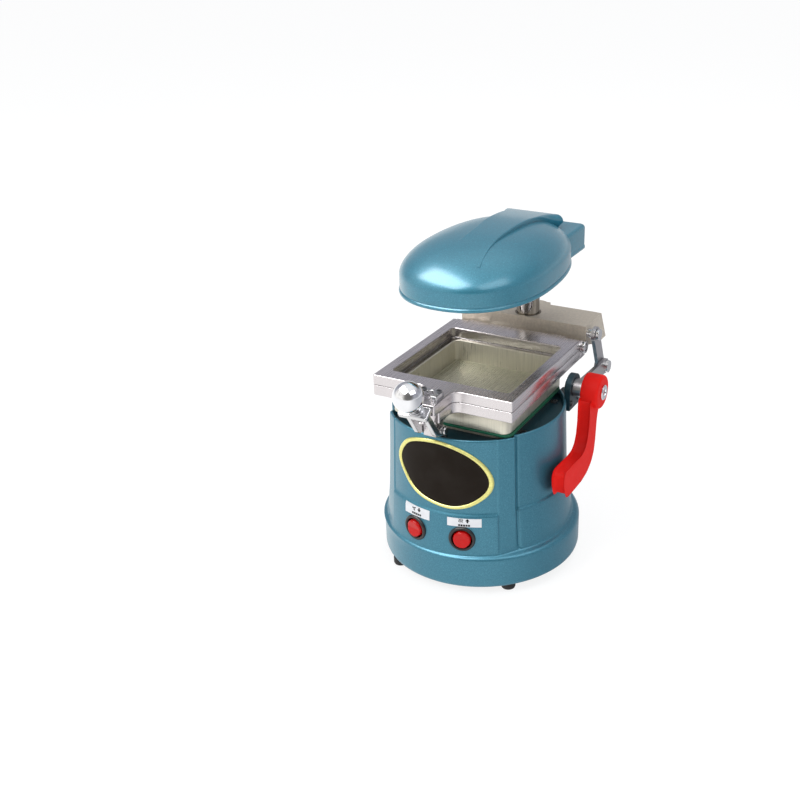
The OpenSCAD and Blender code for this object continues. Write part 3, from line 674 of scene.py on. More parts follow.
@dataclass(frozen=True)
class HeatedMetal(Finish):
    """Metal that has been hot: straw and grey-blue bands over a dull skin."""

    colour: tuple[float, float, float]
    tint: tuple[float, float, float]
    metal: float = 0.8
    rough: float = 0.5

    def dress(self, web: Web) -> None:
        """Broad noise lays the tint over the metal; fine noise roughens it."""
        bands = web.noise(42.0, 3.0)
        scale = web.noise(700.0, 4.0)
        colour = web.blend(web.span(bands, 0.38, 0.66), self.colour, self.tint)
        colour = web.blend(web.span(scale, 0.5, 0.8, 0.0, 0.3), colour,
                           tuple(0.5 * c for c in self.colour))
        web.finish({"Base Color": colour, "Metallic": self.metal,
                    "Roughness": web.span(scale, 0.3, 0.7, self.rough - 0.08, self.rough + 0.12),
                    "Normal": web.bump(scale, 0.4, 0.0001)})


ENAMEL = FlakeEnamel("enamel_base", linear(24, 88, 110), linear(74, 144, 166))
HEAD_ENAMEL = FlakeEnamel("enamel_head", linear(10, 88, 110), linear(62, 150, 174), 0.25, 0.34, 0.6, 1.6)
DARK_ENAMEL = FlakeEnamel("enamel_dark", linear(14, 44, 54), linear(32, 70, 82), 0.4, 0.42, 0.2)
# The deck's enamel is a darker copy of the base enamel: painted shade for the recess inside the rim.
RECESS_PAINTED_SHADE = FlakeEnamel("enamel_recess", linear(10, 46, 56), linear(26, 74, 86), 0.2, 0.5, 0.1)
FRAME_METAL = WorkedMetal("satin_frame", linear(220, 215, 217), 0.24, (220.0, 4.0, 220.0))
CAST_METAL = WorkedMetal("cast_carriage", linear(214, 203, 186), 0.34, (40.0, 40.0, 40.0), 0.14, metal=0.28)
# The chamber's floor under the tray is painted nearly black: painted shade seen through the tray's holes.
CHAMBER_METAL = WorkedMetal("satin_chamber", linear(226, 222, 206), 0.3, (120.0, 120.0, 4.0), metal=0.7,
                             painted_shade_below=0.1585)
TRAY_METAL = WorkedMetal("tray_sheet", linear(214, 212, 192), 0.36, (30.0, 30.0, 30.0), metal=0.6)
STEEL = WorkedMetal("bright_steel", linear(214, 214, 216), 0.2, (30.0, 30.0, 300.0), 0.08)
DARK_STEEL = WorkedMetal("dark_steel", linear(120, 122, 126), 0.34, (30.0, 30.0, 200.0))
LINK_STEEL = WorkedMetal("link_steel", linear(186, 184, 186), 0.3, (200.0, 20.0, 20.0))
CHROME = Chrome("chrome_ball")
RED = MouldedPlastic("red_grip", linear(236, 32, 26), 0.5, 260.0, 0.00004, 0.0, 0.02, 0.08)
RED_CLEAR = MouldedPlastic("red_rocker", linear(204, 16, 14), 0.22, 500.0, 0.00003, 0.1, 0.03, 0.2)
BLACK = MouldedPlastic("black_plastic", linear(22, 22, 25), 0.34, 900.0, 0.00006, 0.1, 0.05)
RUBBER = MouldedPlastic("black_rubber", linear(20, 20, 22), 0.62, 700.0, 0.0001, 0.0, 0.06)
GREEN = MouldedPlastic("green_rubber", linear(6, 92, 66), 0.5, 600.0, 0.0001, 0.0, 0.06, 0.3)
BADGE_BLACK = MouldedPlastic("badge_black", linear(34, 28, 23), 0.4, 60.0, 0.00002, 0.0, 0.05, 0.06)
LABEL = MouldedPlastic("label_white", linear(236, 237, 240), 0.42, 1200.0, 0.00002, 0.1, 0.02)
INK = MouldedPlastic("label_ink", linear(26, 26, 30), 0.5, 1200.0, 0.00002, 0.0, 0.02, 0.2)
GOLD = WorkedMetal("gold_trim", linear(246, 240, 150), 0.3, (60.0, 60.0, 60.0), 0.1, metal=0.6)
BRONZE = WorkedMetal("bearing_bronze", linear(126, 116, 100), 0.36, (10.0, 10.0, 160.0))
# The post's dark vertical streaks in its colour are a painted reflection of the parts around it, not tool
# marks.
POST = WorkedMetal("post_chrome", linear(240, 238, 236), 0.12, (22.0, 22.0, 0.05), 0.05, 0.00002, shade=0.22)
COIL = HeatedMetal("coil_sheath", linear(92, 88, 86), linear(120, 98, 74), 0.7, 0.5)
DISH = HeatedMetal("reflector_sheet", linear(206, 206, 206), linear(196, 184, 160), 1.0, 0.2)
CERAMIC = MouldedPlastic("ceramic", linear(226, 220, 204), 0.5, 500.0, 0.0001, 0.0, 0.05)
SHEET = MouldedPlastic("black_sheet", linear(34, 36, 40), 0.55, 800.0, 0.0001, 0.0, 0.06)
MOTOR = HeatedMetal("motor_case", linear(120, 122, 126), linear(104, 104, 108), 0.9, 0.4)


# --------------------------------------------------------------------------- pieces


@dataclass
class Bench:
    """Turns shells into pieces of the model and keeps the frame at hand."""

    frame: dict

    def piece(self, name: str, shell: Shell, body: Body, finish: Finish,
              replaces: Sequence[str] = (), crease: float = 35.0, merge: float = 0.004,
              carve: Sequence[Shell] = ()) -> None:
        """Makes a piece from a shell.

        Args:
            name: the piece's name.
            shell: its surface, in millimetres.
            body: what it rides on.
            finish: its finish.
            replaces: the frame's nodes that it stands for.
            crease: edges sharper than this many degrees stay sharp.
            merge: points closer than this many millimetres become one.
            carve: shells whose volume is taken out of it.
        """
        made = shown(name, self.mesh(name, shell, merge))
        for cutter in carve:
            self.cut(made, cutter, merge)
        mesh = made.data
        mesh.polygons.foreach_set("use_smooth", np.ones(len(mesh.polygons), bool))
        mesh.set_sharp_from_angle(angle=float(np.radians(crease)))
        self.settle(made, body, finish, replaces)

    def mesh(self, name: str, shell: Shell, merge: float) -> bpy.types.Mesh:
        """A mesh in metres with its doubles merged and its faces outwards."""
        mesh = bpy.data.meshes.new(name)
        mesh.from_pydata(((shell.points + SET_DOWN) * MM).tolist(), [], shell.faces)
        work = bmesh.new()
        work.from_mesh(mesh)
        bmesh.ops.remove_doubles(work, verts=work.verts, dist=merge * MM)
        bmesh.ops.dissolve_degenerate(work, edges=work.edges, dist=merge * MM * 0.5)
        bmesh.ops.recalc_face_normals(work, faces=work.faces)
        work.to_mesh(mesh)
        work.free()
        return mesh

    def cut(self, made: bpy.types.Object, cutter: Shell, merge: float) -> None:
        """Takes a shell's volume out of a piece."""
        tool = shown("cutter", self.mesh("cutter", cutter, merge))
        step = made.modifiers.new("cut", "BOOLEAN")
        step.operation, step.object, step.solver = "DIFFERENCE", tool, "EXACT"
        bpy.context.view_layer.update()
        dug = bpy.data.meshes.new_from_object(
            made.evaluated_get(bpy.context.evaluated_depsgraph_get()))
        made.modifiers.clear()
        made.data = dug
        bpy.data.objects.remove(tool)

    def settle(self, made: bpy.types.Object, body: Body, finish: Finish,
               replaces: Sequence[str]) -> None:
        """Gives a piece its finish, its body and the nodes it stands for."""
        made.data.materials.clear()
        made.data.materials.append(finish.material())
        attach(made, body.value)
        if replaces:
            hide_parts(*replaces)
        LOG.info("%s: %d faces", made.name, len(made.data.polygons))

    def eased(self, node: str, body: Body, finish: Finish, edge: float = 0.5) -> None:
        """Stands a copy of a frame's node in for it, with its flats made whole and its edges rounded.

        Args:
            node: the frame's node.
            body: what it rides on.
            finish: its finish.
            edge: width of the rounding, in millimetres.
        """
        mesh = self.frame["nodes"][node].data.copy()
        work = bmesh.new()
        work.from_mesh(mesh)
        bmesh.ops.remove_doubles(work, verts=work.verts, dist=2e-6)
        bmesh.ops.dissolve_limit(work, angle_limit=0.02, verts=work.verts, edges=work.edges)
        work.to_mesh(mesh)
        work.free()
        made = shown(node + "_eased", mesh)
        if mesh.has_custom_normals:
            mesh.attributes.remove(mesh.attributes["custom_normal"])
        mesh.polygons.foreach_set("use_smooth", np.ones(len(mesh.polygons), bool))
        mesh.set_sharp_from_angle(angle=3.14)
        soften = made.modifiers.new("edges", "BEVEL")
        soften.width, soften.segments, soften.limit_method = edge * MM, 2, "ANGLE"
        soften.angle_limit = float(np.radians(32))
        even = made.modifiers.new("flats", "WEIGHTED_NORMAL")
        even.keep_sharp = False
        self.settle(made, body, finish, [node])

    def coat(self, node: str, finish: Finish) -> None:
        """Gives a shown node of the frame its finish."""
        mesh = self.frame["nodes"][node].data
        mesh.materials.clear()
        mesh.materials.append(finish.material())
        LOG.info("%s: coated with %s", node, finish.name)


@dataclass
class BaseCasting:
    """The enamelled base: ring, skirt, step, tapered barrel and the raised front panel."""

    levels: tuple = (7, 7.4, 8.5, 10, 12, 20, 28, 34, 35.2, 36.3, 37.2, 37.8, 38.2, 38.6, 39.2, 40.2, 42,
                     50, 58, 66, 72, 75.5, 77, 78, 78.8, 79.6, 80.6, 82, 86, 96, 108, 120, 132, 142, 147,
                     149, 149.9, 150.3, 150.5)
    barrel: tuple = (91.5, 92.9, 94.1, 94.5, 94.5, 94.5, 94.5, 94.5, 94.35, 93.9, 93.2, 92.3, 91, 90, 88.9,
                     88.3, 88, 87.2, 86.4, 85.6, 85, 84.7, 84.5, 84.2, 83.6, 82.9, 82.55, 82.45, 82.3, 82,
                     81.6, 81.2, 80.8, 80.45, 80.3, 80.2, 79.9, 79.4, 78.8)
    front: tuple = (91.6, 91, 90.6, 90.4, 90.3, 89.9, 89.5, 89.1, 88.8, 88.6, 88.4, 87.9, 87.2, 86.7, 86.4,
                    86.3, 86.2, 85.85, 85.4, 84.95, 84.5, 84.15, 84, 83.9, 83.6, 83.1, 82.5)
    wall: float = 2.6
    deck: float = 145.0
    switch_turns: tuple[float, float] = (-14.0, 16.2)
    switch_z: float = 55.6
    feet_radius: float = 85.2
    feet_turns: tuple = (-35, 43.8, 145, 223.8)

    def panel_radius(self, level: Array) -> Array:
        """Radius of the front panel at a height."""
        return np.interp(level, self.levels, [*self.barrel[:12], *self.front])

    def radius(self, angle: Array, level: Array) -> Array:
        """Radius at an angle from the front and a height.

        The panel holds within 36.6 degrees. From 37.5 to 47.6 degrees a pilaster runs straight from
        the panel's edge out to its own corner, and then drops to the barrel through a shallow groove.

        Args:
            angle: degrees from the front.
            level: heights.

        Returns:
            The radius.
        """
        a = np.abs(angle)
        off = (2.4 * np.sin(np.radians(angle)) - 1.3) * soft_step(level, 39, 34)
        plain = np.interp(level, self.levels, self.barrel)
        panel = self.panel_radius(level)
        crown = np.minimum(panel - self.panel_radius(np.array(147.0)), 0) * (level > 147)
        inner = np.interp(level, [45, 80, 147], [89.5, 87.2, 84.6]) + crown
        outer = np.interp(level, [45, 60, 80, 92, 120, 150.5], [87.3, 86.8, 85.8, 85.2, 83.9, 82.9]) + crown
        share = np.clip((a - 37.5) / 10.1, 0, 1)
        rib = np.maximum(inner + (outer - inner) * share + 0.9 * share**2, plain)
        low = soft_step(level, 39.5, 45.0)
        rib = plain + (rib - plain) * low + (1 - low) * (panel - plain) * (1 - share)
        mixed = panel + (rib - panel) * soft_step(a, 36.6, 37.6)
        groove = -1.5 * np.exp(-((a - 49.9) / 0.8) ** 2) * soft_step(level, 39, 43) * (level < 149.6)
        return mixed + (plain - mixed) * soft_step(a, 47.6, 49.3) + groove + off

    def angles(self) -> Array:
        """Angles of the grid's columns, close together at the pilasters."""
        right = np.concatenate([np.arange(1.5, 36, 1.5), [36.2, 36.6, 36.85, 37.1, 37.35, 37.6, 38.2, 39.5,
                                41, 42.5, 44, 45.5, 46.8, 47.4, 47.7, 48.0, 48.35, 48.7, 49.0, 49.3, 49.6,
                                49.9, 50.2, 50.6, 51, 51.6, 52.6, 54], np.arange(57, 180, 3)])
        return np.concatenate([-right[::-1], [0], right, [180]])

    def shell(self) -> Shell:
        """The casting: outside, rim and inner wall, closed under the ring."""
        a = self.angles()
        outside = np.array(self.levels, float)
        extra = np.array([45, 46.5, 92, 114, 126, 137, 148.2])
        outside = np.sort(np.concatenate([outside, extra]))
        radii = self.radius(a[None, :], outside[:, None])
        top = self.radius(a, np.full_like(a, 147.5)) - self.wall
        inside = np.array([150.3, 149.6, 147, 144.9, 140, 110, 84, 76, 44, 36, 12, 8])
        inner = np.where(inside[:, None] > 143, top[None, :] + (inside[:, None] > 150) * 0.5,
                         self.radius(a[None, :], np.minimum(inside, 147)[:, None]) - 4.0)
        inner = np.where((inside < 40)[:, None], 88.0, np.minimum(inner, np.maximum(top, 84.0)))
        level = np.concatenate([outside, inside])
        r = np.vstack([radii, inner])
        t = np.radians(a)
        grid = np.stack([r * np.sin(t), -r * np.cos(t), np.repeat(level[:, None], len(a), 1)], -1)
        return lattice(grid, close_rows=True)

    def outline(self, inside: float) -> Array:
        """The rim's outline drawn in, the other way from the clock's hands."""
        t = np.radians(self.angles())
        r = self.radius(self.angles(), np.full_like(t, 147.5)) - inside
        return np.column_stack([r * np.sin(t), -r * np.cos(t)])

    def build(self, bench: Bench) -> None:
        """Makes the casting, its deck, feet, floor plate and rear inlet."""
        holes = [facing_front(bar(10.1, -30, 40, 0.1), 0, -76, self.switch_z).turned_about_z(turn)
                 for turn in self.switch_turns]
        holes.append(plate(block(-12, 12, 48, 64, 1), 70, 100, (), 0.1).stood(Axis.FRONT))
        pad = plate(block(-24, 24, 44, 68, 3), 80, 88.4, (), 0.8, 0.0).stood(Axis.FRONT)
        hole = holes[2]
        bench.piece("body_casting", self.shell(), Body.BASE, ENAMEL, ["body"], 38, 0.004, holes)
        bench.piece("inlet_pad", pad, Body.BASE, ENAMEL, (), 35, 0.004, [hole])
        # The deck is painted darker than the casting: painted shade in the recess.
        bench.piece("deck_plate", plate(self.outline(self.wall + 0.15), 142, self.deck,
                                        [circle(14)], 0.3, 0.3), Body.BASE, RECESS_PAINTED_SHADE, ["top_deck"])
        feet = [turned([(0, 0), (5, 0), (6.1, 0.5), (6.6, 1.6), (6.7, 3), (6.7, 7.2), (0, 7.2)], 36)
                .moved(0, -self.feet_radius, 0).turned_about_z(a) for a in self.feet_turns]
        bench.piece("rubber_feet", joined(feet), Body.BASE,
                    RUBBER, ["feet"])
        heads = [socket_head(3.0, 2.0, 1.4).moved(70.0, 0, self.deck).turned_about_z(a)
                 for a in range(30, 390, 60)]
        bench.piece("deck_cap_screws", joined(heads), Body.BASE, DARK_STEEL, ["deck_screws"])
        inlet = plate(block(-20, 20, 46, 66, 2.5), 88.5, 90.7, [block(-10, 10, 50, 62, 1)], 0.8, 0.0)
        shroud = plate(block(-11.9, 11.9, 48.1, 63.9, 1.5), 71, 88.6, [block(-10, 10, 50, 62, 1)], 0.2)
        bench.piece("inlet_flange", inlet.stood(Axis.FRONT) + shroud.stood(Axis.FRONT), Body.BASE,
                    BLACK, ["power_inlet"])
        pins = [plate(block(x - 0.9, x + 0.9, z - 2, z + 2, 0.4), 74, 84, (), 0.3).stood(Axis.FRONT)
                for x, z in ((-6, 54.5), (0, 58), (6, 54.5))]
        bench.piece("inlet_blades", joined(pins), Body.BASE, BRONZE,
                    ["inlet_pins"])
        for node, finish in (("base_plate", SHEET), ("base_screws", STEEL), ("vacuum_motor", MOTOR),
                             ("impeller_housing", SHEET)):
            bench.coat(node, finish)


@dataclass
class FrontPanel:
    """The oval badge, the two labels and the two round switches."""

    casting: BaseCasting
    knots: tuple = ((-30.2, 120.1), (-23.9, 137), (-12.2, 145.1), (3.2, 147.1), (18.2, 140.4), (29.2, 128.1),
                    (34.7, 112.8), (32.6, 100.1), (22.5, 88.3), (11.7, 83.8), (-0.6, 85.3), (-13.8, 91.4),
                    (-23.3, 103.2))
    middle: tuple[float, float] = (2.5, 115.5)

    def outline(self, count: int = 12) -> Array:
        """The badge's edge as (angle, height): a curve through the knots, each piece a cubic."""
        k = np.array(self.knots, float)
        t = (np.arange(count) / count)[None, :, None]
        a, b, c, d = (np.roll(k, s, 0)[:, None, :] for s in (1, 0, -1, -2))
        return (0.5 * (2 * b + (c - a) * t + (2 * a - 5 * b + 4 * c - d) * t**2
                       + (3 * b - a - 3 * c + d) * t**3)).reshape(-1, 2)

    def wrapped(self, angle: Array, level: Array, height: Array) -> Array:
        """Points that stand off the panel at (angle, level)."""
        r = self.casting.panel_radius(level) + height
        t = np.radians(angle)
        return np.stack([r * np.sin(t), -r * np.cos(t), level], -1)

    def badge(self, bench: Bench) -> None:
        """The bare black oval, gently domed, and its half-round gold edge."""
        edge, middle = self.outline(), np.array(self.middle)
        share = np.linspace(0.001, 1, 26)[:, None, None]
        spot = middle + (edge - middle)[None] * (0.94 * share)
        rise = 1.15 - 0.35 * share[..., 0] ** 3
        face = self.wrapped(spot[..., 0], spot[..., 1], np.broadcast_to(rise, spot.shape[:2]))
        back = self.wrapped(spot[-1:, :, 0], spot[-1:, :, 1], np.full((1, len(edge)), 0.02))
        floor = self.wrapped(spot[::-1, :, 0], spot[::-1, :, 1], np.full(spot.shape[:2], 0.02))
        bench.piece("badge_face", lattice(np.vstack([face, back, floor])), Body.BASE,
                    BADGE_BLACK, ["badge"], 40)
        w = np.linspace(0, np.pi, 11)
        scale = (0.957 + 0.051 * np.cos(w))[:, None, None]
        ring = middle + (edge - middle)[None] * scale
        tall = np.repeat((0.15 + 1.65 * np.sin(w))[:, None], len(edge), 1)
        bead = self.wrapped(ring[..., 0], ring[..., 1], tall)
        bench.piece("badge_rim", lattice(bead, close_rows=True), Body.BASE, GOLD, ["badge_trim"], 60)

    def slip(self, a0: float, a1: float, left: tuple[float, float], right: tuple[float, float],
             height: float = 0.02, thick: float = 0.4) -> Shell:
        """A thin curved four-sided slip on the panel, with its lower and upper ends given on both sides."""
        a = np.linspace(0, 1, 14)
        aa, up = np.meshgrid(a, np.linspace(0, 1, 4))
        low, high = (l + (r - l) * aa for l, r in zip(left, right))
        zz, aa = low + (high - low) * up, a0 + (a1 - a0) * aa
        over = self.wrapped(aa, zz, np.full(aa.shape, height + thick))
        under = self.wrapped(aa[::-1], zz[::-1], np.full(aa.shape, height))
        ring = np.vstack([over, under])
        sides = lattice(ring, close_rows=True, close_columns=False)
        ends = [list(range(c, len(ring) * 14, 14)) for c in (0, 13)]
        sides.faces += ends
        return sides

    def mark(self, outline: Array, angle: float, level: float) -> Shell:
        """A small flat sign of the given outline in millimetres, laid on the label."""
        flat = plate(outline, 0.42, 0.56, (), 0.0, 0.0)
        a = angle + np.degrees(flat.points[:, 0] / 89.0)
        return Shell(self.wrapped(a, level + flat.points[:, 1], flat.points[:, 2]), flat.faces)

    def labels(self, bench: Bench) -> None:
        """Two white labels with plain signs: a fan for the vacuum and heat waves for the heater."""
        left = self.slip(-22.2, -3.7, (67.9, 78), (68.1, 77.4))
        right = self.slip(7.6, 27.5, (68, 76), (68, 76))
        bench.piece("label_left", left, Body.BASE, LABEL, ["label_vacuum"])
        bench.piece("label_right", right, Body.BASE, LABEL, ["label_heat"])
        t = np.linspace(0, np.pi, 9)
        blade = 0.8 * np.column_stack([2.9 * np.sin(t) ** 0.8 * np.cos(t / 2),
                                       2.6 * np.sin(t) * np.sin(t / 2)])
        z = np.linspace(-1.7, 1.7, 11)
        wave = np.vstack([np.column_stack([0.4 * np.sin(z * 2.4) + 0.32, z]),
                          np.column_stack([0.4 * np.sin(z * 2.4) - 0.32, z])[::-1]])
        arrow = np.array([(0, -2), (1.9, 0.3), (0.7, 0.3), (0.7, 2), (-0.7, 2), (-0.7, 0.3), (-1.9, 0.3)])
        bars = [block(x - 0.85, x + 0.85, -0.9, 0.9, 0.1) for x in (-4.4, -2.2, 0, 2.2, 4.4)]
        fan = [blade[:-1] @ np.array([[np.cos(a), np.sin(a)], [-np.sin(a), np.cos(a)]])
               for a in np.radians([0, 120, 240])]
        for name, turn, level, signs in (("fan", -12.9, 74.9, [f + (-3, 0) for f in fan] + [arrow + (3, 0)]),
                                         ("waves", 17.5, 74.1, [wave + (x, 0) for x in (-4.4, -3, -1.6)]
                                          + [arrow * (1, -1) + (3, 0)])):
            parts = [self.mark(sign, turn, level) for sign in signs]
            parts += [self.mark(dash, turn, level - 4.6) for dash in bars]
            bench.piece("sign_" + name, joined(parts), Body.BASE, INK)

    def switches(self, bench: Bench) -> None:
        """Round bezels with a rolled edge and rockers with a hollow V face."""
        section = [(9.2, -8), (9.95, -8), (9.95, 11.6), (12.2, 11.6), (12.2, 13.6), (11.9, 14.5),
                   (11.1, 15.1), (10.3, 15.2), (9.7, 14.9), (9.25, 14.2), (9.2, 13.6), (9.2, -8)]
        switch_z = self.casting.switch_z
        for turn, body, node in zip(self.casting.switch_turns, (Body.VACUUM, Body.HEAT), ("vacuum", "heat")):
            ring = facing_front(turned(section, 56), 0, -76, switch_z).turned_about_z(turn)
            bench.piece("bezel_ring_" + node, ring, Body.BASE, BLACK, ["bezel_" + node], 40)
            bench.piece("rocker_cap_" + node, self.rocker().moved(0, 0, switch_z).turned_about_z(turn),
                        body, RED_CLEAR, ["rocker_" + node], 40)

    def rocker(self) -> Shell:
        """A round cap on the switch's axis whose face dips along the middle like an open book.

        At radius q and turn t the face stands at a + b|sin t| q, less a small round-over near the rim.
        """
        q = np.array([0.001, 1.2, 2.6, 4.0, 5.2, 6.2, 6.9, 7.4, 7.75, 7.95, 8.0])
        t = np.arange(56) * 2 * np.pi / 56
        x, z = q[:, None] * np.cos(t), q[:, None] * np.sin(t)
        lean = 4.4 + 0.20 * np.sqrt(z**2 + 0.15) - 1.4 * np.clip((q - 6.9) / 1.1, 0, 1)[:, None] ** 2.2
        face = np.stack([x, -87.4 - lean, z], -1)
        skirt = [np.stack([s * x[-1], np.full_like(t, -87.4 + d), s * z[-1]], -1)
                 for s, d in ((1.03, -2.0), (1.06, 0.0), (1.02, 2.0), (0.98, 3.0), (0.001, 3.0))]
        return lattice(np.concatenate([face, np.stack(skirt)]))

    def build(self, bench: Bench) -> None:
        """Makes the panel's parts."""
        self.badge(bench)
        self.labels(bench)
        self.switches(bench)


@dataclass
class VacuumChamber:
    """Table, green gasket, the chamber and its perforated tray.

    The walls stand wide below the lower frame and step in at the ledge, where they enter its opening.
    Chamber and tray are narrower across than along.
    """

    table: float = 150.6
    gasket: float = 153.0
    top: float = 181.0
    tray: float = 161.0
    half: float = 60.5
    wall: float = 6.0
    narrow: float = 0.952
    rim: float = 57.0
    ledge: float = 172.2

    def perforated(self, cells: int = 40, pitch: float = 2.6, hole: float = 0.85) -> Shell:
        """A sheet of square cells, each with an eight-sided hole: rims, walls and underside alike.

        Args:
            cells: cells along each side.
            pitch: their size.
            hole: radius of the holes.

        Returns:
            The sheet, closed at its holes.
        """
        t = np.arange(8) * np.pi / 4
        rim = hole * np.column_stack([np.cos(t), np.sin(t)])
        far = pitch / 2 * np.array([[1, 0], [1, 1], [0, 1], [-1, 1], [-1, 0], [-1, -1], [0, -1], [1, -1]])
        ring = np.concatenate([np.column_stack([edge, np.full(8, level)])
                               for edge, level in ((far, 0.0), (rim, 0.0), (rim, -0.9), (far, -0.9))])
        centre = (np.arange(cells) - (cells - 1) / 2) * pitch
        cx, cy = np.meshgrid(centre, centre)
        spots = np.column_stack([cx.ravel(), cy.ravel(), np.full(cells**2, self.tray)])
        points = (spots[:, None, :] + ring[None]).reshape(-1, 3)
        i, j = np.meshgrid(np.arange(3), np.arange(8), indexing="ij")
        quad = np.stack([i * 8 + j, i * 8 + (j + 1) % 8, (i + 1) * 8 + (j + 1) % 8, (i + 1) * 8 + j], -1)
        quad = quad.reshape(-1, 4)
        faces = (np.arange(cells**2)[:, None, None] * 32 + quad[None]).reshape(-1, 4)
        return Shell(points, faces.tolist())

    def build(self, bench: Bench) -> None:
        """Makes the table, gasket, chamber and tray."""
        bench.piece("table_plate", plate(square(55, 16), 145, self.table, [circle(14)], 0.6, 0.2), Body.BASE,
                    CAST_METAL, ["vacuum_table"])
        around = rounded([(59.6, -61.4, 9), (59.6, 62.4, 16), (-59.6, 62.4, 16), (-59.6, -61.4, 24)], 12)
        lip = plate(around, self.table, self.gasket, [circle(14)], 1.0, 0.6)
        bench.piece("gasket_sheet", lip, Body.BASE, GREEN, ["gasket"])
        inner = self.half - self.wall
        loops = [(square(self.half - 0.4, 7.6), self.gasket), (square(self.half, 8), self.gasket + 0.4),
                 (square(self.half, 8), self.ledge - 0.5), (square(self.half - 0.4, 7.6), self.ledge),
                 (square(self.rim, 7.2), self.ledge), (square(self.rim, 7.2), self.top - 0.5),
                 (square(self.rim - 0.5, 6.8), self.top), (square(inner + 0.7, 6.1), self.top),
                 (square(inner + 0.2, 5.7), self.top - 0.25), (square(inner, 5.5), self.top - 0.8),
                 (square(inner, 5.5), 159.5), (square(inner - 2.5, 4), 159.5),
                 (square(inner - 2.5, 4), self.gasket + 3.5), (square(15, 14.9), self.gasket + 3.5),
                 (square(15, 14.9), self.gasket)]
        loops = [(loop * np.array([self.narrow, 1]), level) for loop, level in loops]
        bench.piece("chamber_walls", hull_loops(loops), Body.BASE, CHAMBER_METAL,
                    ["chamber"], 40)
        frame = plate(square(inner - 0.35, 5.1), 160.1, self.tray, [block(-52, 52, -52, 52, 0)], 0.0, 0.0)
        sheet = self.perforated() + frame
        sheet = Shell(sheet.points * np.array([self.narrow, 1, 1]), sheet.faces)
        bench.piece("tray_sheet", sheet, Body.BASE, TRAY_METAL,
                    ["tray"], 35, 0.002)


@dataclass
class ClampFrames:
    """The two square frames that hold the sheet, with their lug, hinge and strike."""

    half: float = 67.6
    front: float = 73.2
    opening: float = 57.5
    lower: tuple[float, float] = (172.6, 182.3)
    upper: tuple[float, float] = (182.8, 192.0)
    hinge: tuple[float, float] = (86.0, 183.0)

    def lug(self, reach: float) -> list[tuple[float, float, float]]:
        """Corners of the front edge with the lug that stands out of it, from left to right."""
        return [(-self.half, -self.front, 1.6), (-12.5, -self.front, 8), (-12.5, -reach, 1.2),
                (12.5, -reach, 1.2), (12.5, -self.front, 8), (self.half, -self.front, 1.6)]

    def build(self, bench: Bench) -> None:
        """Makes both frames and what is screwed to them."""
        window = square(self.opening, 4)
        rear = [(self.half, 79.6, 0.5), (52.1, 79.6, 0), (52.1, 84, 0.5), (38.2, 84, 0), (38.2, 82.6, 0)]
        rear += [(-x, y, r) for x, y, r in rear[::-1]]
        top = plate(rounded(self.lug(107.5) + rear, 5), *self.upper, [window], 0.8, 0.35)
        knuckle = along_x(bar(6, 38.4, 51.6, 0.5, bore=3.1), *self.hinge)
        bench.piece("frame_upper_plate", top + knuckle.mirrored(), Body.FRAME, FRAME_METAL,
                    ["frame_upper"])
        a = np.radians(np.linspace(68.6, -248.6, 40))
        notch = [(19.3 * np.cos(v), POST_Y + 19.3 * np.sin(v), 0.0) for v in a]
        back = [(self.half, 79.5, 0.5), (34, 79.5, 1), (34, 127, 1.5), *notch, (-34, 127, 1.5),
                (-34, 79.5, 1), (-self.half, 79.5, 0.5)]
        base = plate(rounded(self.lug(99.5) + back, 5), *self.lower, [window], 0.35, 0.8)
        ears = along_x(bar(6, 53, self.half, 0.5, bore=2.9), *self.hinge)
        cheek = plate(block(53, self.half, 79, 91.5, 0.6), self.lower[0], 180.5, (), 0.4)
        eye = plate(rounded([(-94, 155.5, 1), (-80, 155.5, 1), (-80, 173, 0), (-94, 173, 0)]), -6, 6, (), 0.5)
        bench.piece("frame_lower_plate", base + (ears + cheek).mirrored() + eye.stood(Axis.SIDE),
                    Body.CARRIAGE, FRAME_METAL, ["frame_lower"])
        seal = plate(square(63.5, 8), 181.5, 182.5, [square(59.5, 5)], 0.3, 0.1)
        bench.piece("seal_ring", seal, Body.CARRIAGE, RUBBER, ["sheet_seal"])
        pin = along_x(bar(2.95, -self.half, self.half + 2.9, 0.3), *self.hinge)
        head = along_x(turned([(0, -69.6), (3.6, -69.4), (4.8, -68.6), (5, -67.8), (0, -67.6)]), *self.hinge)
        nut = along_x(bar(6, self.half, self.half + 3.4, 0.7, bore=3.9), *self.hinge)
        bench.piece("hinge_pin_set", pin + head + nut, Body.CARRIAGE, STEEL, ["hinge_pin"])
        slot = rounded([(-10, -99, 1), (-4.2, -99, 0.8), (-4.2, -92.3, 0), (-2.9, -89.1, 0), (0, -87.8, 0),
                        (2.9, -89.1, 0), (4.2, -92.3, 0), (4.2, -99, 0.8), (10, -99, 1), (10, -85, 1.2),
                        (-10, -85, 1.2)], 3)
        bench.piece("strike_block", plate(slot, 192.0, 196.5, (), 0.5, 0.0), Body.FRAME, STEEL,
                    ["lug_strike"])
        caps = [socket_head(2.4, 1.6, 1.2, 0.3).moved(x, -89, 196.5) for x in (-7.2, 7.2)]
        bench.piece("strike_caps", joined(caps), Body.FRAME, DARK_STEEL, ["strike_screws"])
        low = [socket_head(4, 3, 2).turned_about_x(180).moved(x, y, self.lower[0])
               for x in (-28, 28) for y in (97, 121)]
        bench.piece("frame_cap_screws", joined(low), Body.CARRIAGE, STEEL,
                    ["frame_screws"])


